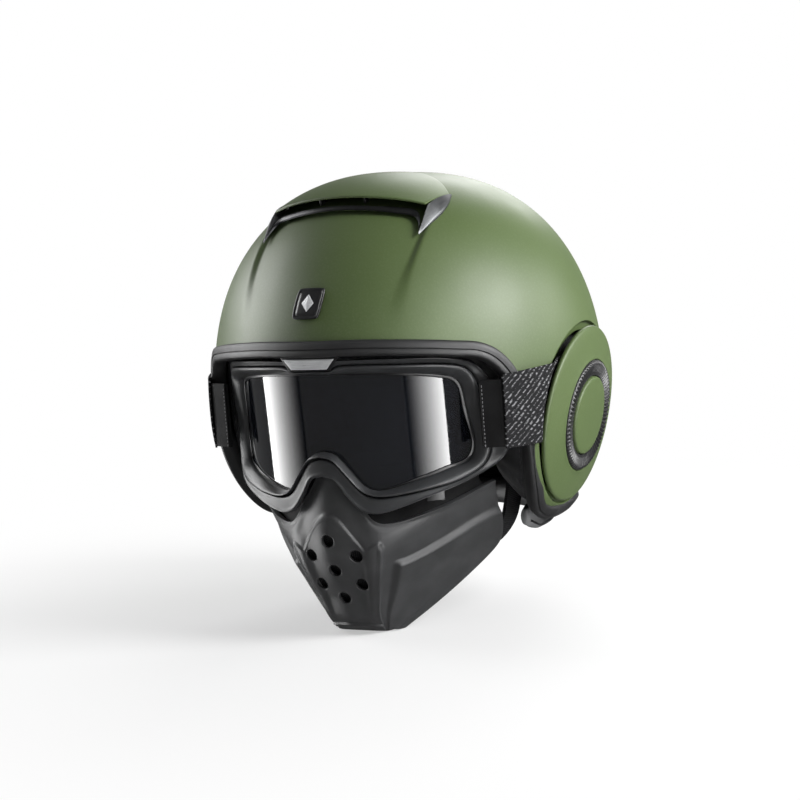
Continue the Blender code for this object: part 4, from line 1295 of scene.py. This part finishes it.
def make_nameplate():
    """The blank bright plate at the top of the goggle in its black seat."""
    def plate(scale, radius, rows=12, columns=36):
        t, s = np.meshgrid(np.linspace(0, 1, rows), np.linspace(-1, 1, columns), indexing="ij")
        z = NAMEPLATE_LEVEL + (t - 0.5) * NAMEPLATE_HEIGHT * scale
        return on_cylinder(s * (6.9 + 3.0 * t) * (0.5 + 0.5 * scale), z, radius)

    seat = sheet("nameplate_seat", plate(1.32, 100.3), black_plastic, 1.2, 0.3)
    own(seat, "goggles", "dark_plastic")
    parts = [sheet("face", plate(1.0, 101.3), silver, 0.9, 0.3)]
    for t in (0.12, 0.88):
        z = NAMEPLATE_LEVEL + (t - 0.5) * NAMEPLATE_HEIGHT
        edge = on_cylinder(np.linspace(-1, 1, 30) * (6.3 + 3.0 * t), z, 101.75)
        parts.append(cord("rule", edge, 0.16, silver, around=8))
    own(join("nameplate_blank", parts), "goggles", "metal", "nameplate")


def make_strap_clip(side, label):
    """The flat black clip that holds the elastic, with a sewn edge and a welt along it."""
    spots = ((89.2, -78.2, 26), (92.5, -77.2, 28), (97, -75.7, 31), (100.5, -74.3, 36), (103, -72.8, 42))
    half = 1.35
    sections = []
    for x, y, facing in spots:
        out = np.array((sin(radians(facing)), -cos(radians(facing))))
        ring = rounded(((-half, -18.3), (half, -18.3), (half, 22.3), (-half, 22.3)), 0.8, 3)
        places = np.stack((x + out[0] * ring[:, 0], y + out[1] * ring[:, 0], ring[:, 1]), -1)
        sections.append(places * np.array((side, 1, 1)))
    parts = [sweep("block", evenly_sections(np.array(sections), 4), clip_plastic, sharp=50)]
    x, y, facing = 89.9, -78.0, 27
    out = np.array((side * sin(radians(facing)), -cos(radians(facing)), 0))
    line = np.array([(side * x, y, z) for z in np.linspace(-17, 21, 30)]) + out * (half + 0.05)
    parts.append(stitches("sewn_edge", line, np.tile(out, (30, 1)), thread, 1.5, 2.3, 0.26))
    welt = line + np.array((side * -1.0, -0.4, 0))
    parts.append(cord("welt", welt, 0.55, clip_plastic))
    own(join("clip_" + label, parts), "goggles", "black_plastic", "strap_clip_" + label)


def evenly_sections(sections, per_span):
    """More sections between the given ones, smoothly."""
    count, around = sections.shape[:2]
    line = through(sections.reshape(count, -1), per_span)
    return line.reshape(len(line), around, 3)


# ---------------------------------------------------------------- mask

PANEL_SIDE = 2.0
PANEL_FOOT = 0.90
PANEL_GAP = 0.012
PANEL_WALL = 1.9
MASK_WALL = 2.6


def panel_top(u):
    """Where the panel's peaked top crease lies, as a share down the mask."""
    u = np.abs(u)
    return 0.245 + 0.055 * ramp(u, 0.35, 1.3) - 0.15 * ramp(u, 1.3, 2.0)


MASK_SPAN = 12


def mask_table():
    """The mask's surface as a dense table of lines, both sides of the centre."""
    lines = np.stack([curve(line, 96) for line in MASK_LINES])
    full = np.concatenate((lines[:0:-1] * np.array((-1, 1, 1)), lines))
    return through(full.reshape(len(full), -1), MASK_SPAN).reshape(-1, 97, 3)


MASK_TABLE = mask_table()


def mask_points(u, v):
    """Mask surface: u counts lines from the centre, v runs from the top edge to the bottom."""
    row = np.clip((u + 4) * MASK_SPAN, 0, len(MASK_TABLE) - 1.001)
    column = np.clip(v * 96, 0, 95.999)
    i, j = row.astype(int), column.astype(int)
    a, b = (row - i)[..., None], (column - j)[..., None]
    low = MASK_TABLE[i, j] * (1 - b) + MASK_TABLE[i, j + 1] * b
    high = MASK_TABLE[i + 1, j] * (1 - b) + MASK_TABLE[i + 1, j + 1] * b
    return low * (1 - a) + high * a


def mask_relief(u, v):
    """Moulded shapes on the mask: side boss, seam ridge and sunk panel."""
    side = np.abs(u)
    start = 0.31 - 0.17 * ramp(side, 2.4, 3.9)
    boss = ramp(v, start, start + 0.05) * ramp(side, 2.28, 2.42) * (1 - 0.75 * ramp(v, 0.55, 0.95)
                                                                   * (1 - ramp(side, 2.6, 3.4)))
    ridge = np.exp(-((side - PANEL_SIDE) / 0.055) ** 2) * ramp(v, 0.16, 0.22) * (1 - ramp(v, 0.885, 0.90))
    foot = np.exp(-((v - PANEL_FOOT) / 0.011) ** 2) * (1 - ramp(side, 1.95, 2.06))
    crest = 1.1 * ramp(v, panel_top(u) - 0.02, panel_top(u) + 0.012) * (1 - ramp(side, 1.9, 2.05))
    hem = 0.6 * (1 - ramp(v, 0.0, 0.03))
    return 3.2 * boss + 1.2 * np.maximum(ridge, foot) + crest + hem


def mask_surface(u, v, depth=0.0):
    """Mask points with their relief, at a depth below it."""
    du, dv = 0.04, 0.01
    across = mask_points(u + du, v) - mask_points(u - du, v)
    down = mask_points(u, v + dv) - mask_points(u, v - dv)
    normal = unit(np.cross(down, across))
    rise = mask_relief(u, v) * (1 - ramp(v, 0.97, 1.0)) - depth
    return mask_points(u, v) + normal * rise[..., None]


def mask_grid(side_steps, parts):
    """A mask grid whose lines follow the panel's edges."""
    reach = PANEL_SIDE - 0.10
    wing = reach + (4 - reach) * np.linspace(0, 1, side_steps) ** 1.7
    u = np.concatenate((-wing[::-1], np.linspace(-reach, reach, parts[3])[1:-1], wing))
    rows = []
    for lows, highs, count in ((0.0, 1, parts[0]), (1, 2, parts[1]), (2, 3, parts[2])):
        for t in np.linspace(0, 1, count + 1)[1 if lows else 0:]:
            top = panel_top(u) + 0.03
            foot = np.full_like(u, PANEL_FOOT - 0.02)
            stops = (np.zeros_like(u), top, foot, np.ones_like(u))
            rows.append(stops[int(lows)] * (1 - t) + stops[int(highs)] * t)
    v = np.stack(rows)
    return np.broadcast_to(u, v.shape), v


def wall_inward(piece, thickness):
    """Wall thickness that grows toward the head."""
    solid = piece.modifiers.new("wall", 'SOLIDIFY')
    solid.thickness = thickness * MM
    solid.offset = -1
    aim_outward(piece)


def make_mask_wall():
    """The mask's moulded outer wall, with a window for the pierced panel."""
    parts = (44, 90, 22, 64)
    side_steps = 70
    u, v = mask_grid(side_steps, parts)
    points = mask_surface(u, v)
    rows, columns = u.shape
    faces = [f for f in grid_faces(rows, columns)
             if not (parts[0] <= f[0] // columns < parts[0] + parts[1]
                     and side_steps - 1 <= f[0] % columns < columns - side_steps)]
    wall = build("mask_wall", points, faces, mask_plastic, sharp=60)
    wall_inward(wall, MASK_WALL)
    round_edges(wall, 0.5, 2, 50)
    own(wall, "mask", "dark_plastic", "mask_shell")


def drill_breath_holes(panel):
    """Cuts the round breathing holes through the panel."""
    profile = ((0, -30), (BREATH_HOLE_RADIUS, -30), (BREATH_HOLE_RADIUS, 30), (0, 30))
    drills = []
    for x, z in BREATH_HOLES:
        m = Matrix.Translation((x, -110, z)) @ Matrix.Rotation(pi / 2, 4, 'X')
        drills.append(lathe("drill", profile, m, mask_plastic, 40))
    for drill in drills:
        hole = panel.modifiers.new("hole", 'BOOLEAN')
        hole.operation = 'DIFFERENCE'
        hole.solver = 'EXACT'
        hole.object = drill
    bake(panel)
    for drill in drills:
        bpy.data.objects.remove(drill)


def make_mask_panel():
    """The pierced front panel with a chamfer round each breathing hole."""
    s, t = np.meshgrid(np.linspace(-1, 1, 80), np.linspace(0, 1, 110))
    u = s * (PANEL_SIDE - 0.06)
    v = panel_top(u) + PANEL_GAP + (PANEL_FOOT - PANEL_GAP - panel_top(u) - PANEL_GAP) * t
    panel = sheet("mask_panel", mask_surface(u, v, 0.12), mask_plastic, sharp=60)
    wall_inward(panel, PANEL_WALL)
    bake(panel)
    drill_breath_holes(panel)
    panel.data.shade_smooth()
    panel.data.set_sharp_from_angle(angle=radians(40))
    pieces = [panel] + [hole_ring(x, z) for x, z in BREATH_HOLES]
    own(join("mask_pierced_panel", pieces), "mask", "dark_plastic", "mask_front_panel")


def make_nose_pad():
    """The crowned foam pad over the nose, inside the mask's top."""
    s, t = np.meshgrid(np.linspace(-1, 1, 24), np.linspace(0, 1, 24))
    u, v = 0.42 * s, 0.06 + 0.15 * t
    swell = 2.4 * (1 - np.abs(s) ** 3) * (1 - np.abs(2 * t - 1) ** 3)
    pad = sheet("nose_pad_foam", mask_surface(u, v, 4.0 + swell), open_foam, 1.2, 0.4, sharp=60)
    own(pad, "mask", "soft_foam", "mask_nose_pad")


def make_gap_shade_sheet():
    """A near-black wavy sheet behind the mask's top edge: painted shade that closes the shadowed gap under
    the goggle.
    """
    u = np.linspace(-3.85, 3.85, 160)
    top = mask_surface(u, np.full_like(u, 0.045), 2.9)
    away = unit(top * np.array((1, 1, 0)) - np.array((0, -20, 0)))
    rows = []
    for rise, inward in ((-4, 0.4), (0, 1.2), (4, 3.2), (8, 5.4), (12, 7.4), (15, 8.8), (16.5, 10.2)):
        fold = 0.3 * np.sin(np.arange(160) * 0.55) * ramp(rise, 0, 12)
        rows.append(top - away * (inward + fold)[:, None] + np.array((0, 0, rise)))
    # Painted shade: the near-black sheet stands in for the shadow in the open gap between the mask's top
    # edge and the goggle flange.
    shadow_sheet = sheet("mask_gap_shade_sheet", np.stack(rows), clip_plastic, 1.2, 0.3, sharp=60)
    own(shadow_sheet, "mask", "soft_foam")


def aim_outward(piece):
    """Turns an open surface's faces away from the head, so that its wall grows inward."""
    mesh = bmesh.new()
    mesh.from_mesh(piece.data)
    centre = Vector((0, -0.03, 0.07))
    inward = [f for f in mesh.faces if f.normal.dot(f.calc_center_median() - centre) < 0]
    if len(inward) > len(mesh.faces) / 2:
        bmesh.ops.reverse_faces(mesh, faces=mesh.faces)
    mesh.to_mesh(piece.data)
    mesh.free()


def panel_spot(x, z):
    """The mask's u, v at sideways distances and heights on its front."""
    u, v = x / 15.0, np.full_like(x, 0.5)
    for _ in range(30):
        here = mask_points(u, v)
        u = u + (x - here[..., 0]) / 18.0
        v = np.clip(v - (z - here[..., 2]) / 120.0, 0.02, 0.98)
    return u, v


def hole_ring(x, z):
    """The chamfer round a breathing hole."""
    angle = np.linspace(0, 2 * pi, 40, endpoint=False)
    rows = []
    for radius, depth in ((4.55, 0.19), (4.5, 0.03), (4.3, -0.05), (4.05, 0.10), (3.85, 0.55), (3.85, 1.85)):
        u, v = panel_spot(x + radius * np.cos(angle), z + radius * np.sin(angle))
        rows.append(mask_surface(u, v, depth))
    return sweep("chamfer", np.stack(rows, 1), mask_plastic, ring=True, sharp=60)


def make_mask_mesh():
    """Fine black netting behind the breathing holes."""
    parts = []
    s, t = np.meshgrid(np.linspace(-1, 1, 30), np.linspace(0, 1, 40))
    u = s * 1.75
    v = panel_top(u) + 0.03 + (0.855 - panel_top(u) - 0.03) * t
    parts.append(sheet("backing", mask_surface(u, v, 5.4), open_foam, 0.6))
    for k in range(44):
        share = (k + 0.5) / 44
        line = np.linspace(0, 1, 40)
        u = np.full(40, (2 * share - 1) * 1.7)
        v = panel_top(u) + 0.035 + (0.85 - panel_top(u) - 0.035) * line
        parts.append(cord("wire", mask_surface(u, v, 4.4), 0.2, black_plastic, around=5))
        u = (2 * line - 1) * 1.7
        v = panel_top(u) + 0.035 + (0.85 - panel_top(u) - 0.035) * share
        parts.append(cord("wire", mask_surface(u, v, 4.6), 0.2, black_plastic, around=5))
    own(join("mask_netting", parts), "mask", "soft_foam", "mask_mesh")


def make_mask_clip(side, label):
    """The hook behind the mask's wing."""
    middle = middle_of("mask_clip_" + label)
    turn = Matrix.Rotation(side * radians(38), 3, 'Z')
    parts = [block("hook", middle, (11.8, 2.6, 13.8), turn, black_plastic, 0.6)]
    inward = np.array(turn @ Vector((0, 1, 0)))
    for z in (-4, 0, 4):
        parts.append(block("rib", middle + inward * 1.5 + np.array((0, 0, z)), (9, 0.7, 1.2), turn,
                           black_plastic, 0.2))
    own(join("mask_hook_" + label, parts), "mask", "black_plastic", "mask_clip_" + label)


# ---------------------------------------------------------------- chin strap and buckle

STRAP_HALF = 11.0
STRAP_THICKNESS = 1.7
BUCKLE_MIDDLE = Vector((32, -21, -101))


def web(name, places, material):
    """Flat webbing along places, its width running fore and aft, with thick selvedges."""
    line = curve(places, 90)
    along = unit(np.gradient(line, axis=0))
    wide = unit(np.array((0, 1.0, 0)) - along * along[:, 1:2])
    thick = np.cross(along, wide)
    profile = []
    for w in np.linspace(-1, 1, 13):
        profile.append((w, 0.5 + 0.12 * abs(w) ** 6))
    ring = profile + [(w, -t) for w, t in profile[::-1]]
    sections = np.stack([line + wide * (STRAP_HALF * w) + thick * (STRAP_THICKNESS * t)
                         for w, t in ring], 1)
    return sweep(name, sections, material, uv_size=(44, 120), sharp=60)


def strap_path(side):
    """From the anchor between liner and cheek pad, down and in under the chin."""
    azimuth = radians(84)
    places = [skin(azimuth, polar_at(azimuth, z), 40.5) for z in (0, -22, -42)]
    places += [(71, -4, -60), (67, -6, -76), (60, -10, -87), (52, -13, -93)]
    return np.array(places) * np.array((side, 1, 1))


def buckle_turn():
    """The buckle's directions: along the strap, across it and up to the chin."""
    along = Vector((20, 4, 5)).normalized()
    wide = Vector((0, 1, 0))
    wide = (wide - along * wide.dot(along)).normalized()
    return Matrix((along, wide, along.cross(wide))).transposed()


def at_buckle(x, y, z):
    """A place given along, across and above the buckle."""
    return np.array(BUCKLE_MIDDLE + buckle_turn() @ Vector((x, y, z)))


def make_chin_straps():
    """Webbing on both sides, held at riveted anchor plates; the right one follows the toothed tongue."""
    for side, label in ((1, "left"), (-1, "right")):
        places = strap_path(side)
        if side > 0:
            places = np.vstack((places, at_buckle(16.2, 0, 0.4)))
        else:
            places = np.vstack((places, (-40, -21, -102.5), (-24, -27, -109.5), at_buckle(-40, 0, 5.6)))
        band = web("chin_webbing_" + label, places, webbing)
        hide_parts("chin_strap_" + label)
        if side > 0:
            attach(band, "helmet")
        else:
            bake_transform(band)
        middle = middle_of("strap_anchor_" + label)
        parts = [block("plate", middle, (1.7, 25.6, 11.6), Matrix.Identity(3), steel, 0.6)]
        turn = Matrix.Translation(middle) @ Matrix.Rotation(pi / 2, 4, 'Y')
        head = ((0, -1.8), (3.6, -1.8), (3.9, -1.2), (3.9, 1.2), (3.6, 1.8), (2.2, 2.3), (0, 2.4))
        parts.append(lathe("rivet", head, turn, steel, 32))
        own(join("strap_anchor_plate_" + label, parts), "helmet", "metal", "strap_anchor_" + label)


def make_buckle():
    """The ratchet buckle, its release lever and the toothed tongue."""
    turn = buckle_turn()
    parts = [block("base", at_buckle(0, 0, 0.5), (33.6, 24.6, 2.6), turn, steel, 0.6)]
    for y in (-11.6, 11.6):
        parts.append(block("cheek", at_buckle(-1, y, -0.4), (30, 1.4, 3.2), turn, steel, 0.4))
    axle = Matrix.Translation(at_buckle(14.2, 0, -1.4)) @ turn.to_4x4() @ Matrix.Rotation(pi / 2, 4, 'X')
    parts.append(lathe("axle", ((0, -12.2), (1.0, -12.2), (1.0, 12.2), (0, 12.2)), axle, steel, 24))
    own(join("buckle_plate", parts), "helmet", "metal", "buckle_body")

    parts = [block("lever", at_buckle(0, 0, -3.9), (29.6, 20.6, 2.4), turn, black_plastic, 0.7)]
    for k in range(6):
        parts.append(block("grip", at_buckle(-12 + 2.2 * k, 0, -5.2), (1.0, 15, 0.7), turn,
                           black_plastic, 0.25))
    own(join("release_lever", parts), "buckle_lever", "black_plastic", "buckle_lever")

    parts = [block("tongue", at_buckle(-20, 0, 3.6), (51.6, 15.6, 1.6), turn, black_plastic, 0.5)]
    for k in range(18):
        parts.append(block("tooth", at_buckle(-24 + 1.6 * k, 0, 4.5), (0.8, 11, 0.7), turn,
                           black_plastic, 0.15))
    own(join("toothed_tongue", parts), "ratchet_tongue", "black_plastic", "ratchet_tongue")


make_shell()
make_trim()
make_foam_liner()
make_comfort_liner()
make_liner_lip()
make_neck_roll()
make_vent_cover()
make_vent_intake()
make_vent_shutter()
make_rear_exhaust()
make_badge()
make_goggles()
make_nameplate()
make_mask_wall()
make_mask_panel()
make_mask_mesh()
make_gap_shade_sheet()
make_nose_pad()
make_chin_straps()
make_buckle()
for side, label in ((1, "left"), (-1, "right")):
    make_cheek_pad(side, label)
    make_vent_wing(side, label)
    make_disc(side, label)
    make_goggle_strap(side, label)
    make_strap_clip(side, label)
    make_mask_clip(side, label)


# ---------------------------------------------------------------- studio

CAMERA_BACK = (0.4694, -0.8747, 0.1209)
CAMERA_RIGHT = (0.8830, 0.4637, -0.0734)
CAMERA_DISTANCE = 1.42
CAMERA_SHIFT = 0.006455
CAMERA_TARGET = (0.0, -0.004, 0.132)
CAMERA_LENS = 99.0
CAMERA_SENSOR = 36.0
CARD_DISTANCE = 1.3
CARD_STRENGTH = 15.0
CARD_FADE = 1.8
CARD_LEVELS = (-0.7, 1.0)
LAMP_AIM = Vector((0, 0, 0.14))
WORLD_LIGHT = 0.16
FLOOR_HALF = 60.0
FLOOR_LEVEL = -0.0005
FLOOR_FADE = (0.12, 0.55)
FLOOR_GLOW = (0.45, 1.0)


def make_camera():
    back = Vector(CAMERA_BACK).normalized()
    right = Vector(CAMERA_RIGHT)
    right = (right - back * right.dot(back)).normalized()
    lens = bpy.data.cameras.new("camera")
    lens.lens = CAMERA_LENS
    lens.sensor_width = CAMERA_SENSOR
    lens.clip_start = 0.1
    camera = bpy.data.objects.new("camera", lens)
    place = Vector(CAMERA_TARGET) - right * CAMERA_SHIFT + back * CAMERA_DISTANCE
    turn = Matrix((right, back.cross(right), back)).transposed()
    camera.matrix_world = Matrix.Translation(place) @ turn.to_4x4()
    bpy.context.scene.collection.objects.link(camera)
    bpy.context.scene.camera = camera


def glow(name, strength):
    """A light card's material, bright on one edge and fading to the other."""
    made = bpy.data.materials.new(name)
    made.use_nodes = True
    nodes, links = made.node_tree.nodes, made.node_tree.links
    nodes.remove(nodes["Principled BSDF"])
    light = nodes.new("ShaderNodeEmission")
    light.inputs["Color"].default_value = (1, 1, 1, 1)
    split = nodes.new("ShaderNodeSeparateXYZ")
    links.new(position(made, coords="UV"), split.inputs[0])
    fading = combine(made, 'POWER', split.outputs["X"], CARD_FADE)
    links.new(combine(made, 'MULTIPLY', fading, strength), light.inputs["Strength"])
    links.new(light.outputs[0], nodes["Material Output"].inputs["Surface"])
    return made


def make_card(name, corners, strength):
    """A light card through four corners in metres; the second pair is the bright edge."""
    data = bpy.data.meshes.new(name)
    data.from_pydata(corners, [], [(0, 1, 2, 3)])
    layer = data.uv_layers.new(name="UVMap")
    for k, spot in enumerate(((0, 0), (0, 1), (1, 1), (1, 0))):
        layer.data[k].uv = spot
    data.materials.append(glow(name + "_light", strength))
    card = bpy.data.objects.new(name, data)
    card.visible_camera = False
    card.visible_shadow = False
    card.visible_diffuse = False
    bpy.context.scene.collection.objects.link(card)


def round_the_helmet(degrees_round, distance, height):
    turn = radians(degrees_round)
    return (distance * sin(turn), -distance * cos(turn), height)


def make_floor():
    """A pale floor that runs out into the white of the backdrop."""
    data = bpy.data.meshes.new("floor")
    half = FLOOR_HALF
    corners = [(-half, -half, 0), (half, -half, 0), (half, half, 0), (-half, half, 0)]
    data.from_pydata(corners, [], [(0, 1, 2, 3)])
    made = new_material("pale_floor", (0.88, 0.88, 0.88), 0.7)
    nodes, links = made.node_tree.nodes, made.node_tree.links
    reach = nodes.new("ShaderNodeVectorMath")
    reach.operation = 'LENGTH'
    links.new(position(made), reach.inputs[0])
    fade = nodes.new("ShaderNodeMapRange")
    fade.interpolation_type = 'SMOOTHSTEP'
    for end, span, shown in zip(("Min", "Max"), FLOOR_FADE, FLOOR_GLOW):
        fade.inputs["From " + end].default_value = span
        fade.inputs["To " + end].default_value = shown
    links.new(reach.outputs["Value"], fade.inputs["Value"])
    path = nodes.new("ShaderNodeLightPath")
    seen = combine(made, 'MULTIPLY', path.outputs["Is Camera Ray"], fade.outputs["Result"])
    white = nodes.new("ShaderNodeEmission")
    mix = nodes.new("ShaderNodeMixShader")
    links.new(seen, mix.inputs[0])
    links.new(shader_of(made).outputs[0], mix.inputs[1])
    links.new(white.outputs[0], mix.inputs[2])
    links.new(mix.outputs[0], nodes["Material Output"].inputs["Surface"])
    data.materials.append(made)
    floor = bpy.data.objects.new("floor", data)
    floor.location.z = FLOOR_LEVEL
    floor.visible_glossy = False
    bpy.context.scene.collection.objects.link(floor)


def make_lights():
    """Two graded side cards for the lens and soft lamps high at the sides."""
    low, high = CARD_LEVELS
    for name, faint, bright in (("left_card", -44, -85), ("right_card", 37, 66)):
        spots = ((faint, low), (faint, high), (bright, high), (bright, low))
        corners = [round_the_helmet(turn, CARD_DISTANCE, level) for turn, level in spots]
        make_card(name, corners, CARD_STRENGTH)
    for name, place, size, power in (("right_soft", (1.4, 0.05, 0.85), 0.8, 32),
                                     ("rim_soft", (1.05, 0.75, 0.55), 0.5, 5),
                                     ("left_soft", (-1.2, 0.1, 0.7), 0.7, 7),
                                     ("back_soft", (-0.3, 1.5, 1.0), 0.9, 12)):
        lamp = bpy.data.lights.new(name, 'AREA')
        lamp.shape = 'DISK'
        lamp.size = size
        lamp.energy = power
        holder = bpy.data.objects.new(name, lamp)
        holder.location = place
        holder.rotation_euler = (LAMP_AIM - Vector(place)).to_track_quat('-Z', 'Y').to_euler()
        bpy.context.scene.collection.objects.link(holder)


def make_world():
    """Pale all round, dimmer as a light source than as a backdrop."""
    world = bpy.data.worlds.new("studio")
    world.use_nodes = True
    nodes, links = world.node_tree.nodes, world.node_tree.links
    path = nodes.new("ShaderNodeLightPath")
    mix = nodes.new("ShaderNodeMapRange")
    mix.inputs["To Min"].default_value = WORLD_LIGHT
    mix.inputs["To Max"].default_value = 1.0
    links.new(path.outputs["Is Camera Ray"], mix.inputs["Value"])
    links.new(mix.outputs["Result"], nodes["Background"].inputs["Strength"])
    nodes["Background"].inputs["Color"].default_value = (1, 1, 1, 1)
    bpy.context.scene.world = world
    bpy.context.scene.view_settings.view_transform = 'Standard'


make_camera()
make_floor()
make_lights()
make_world()
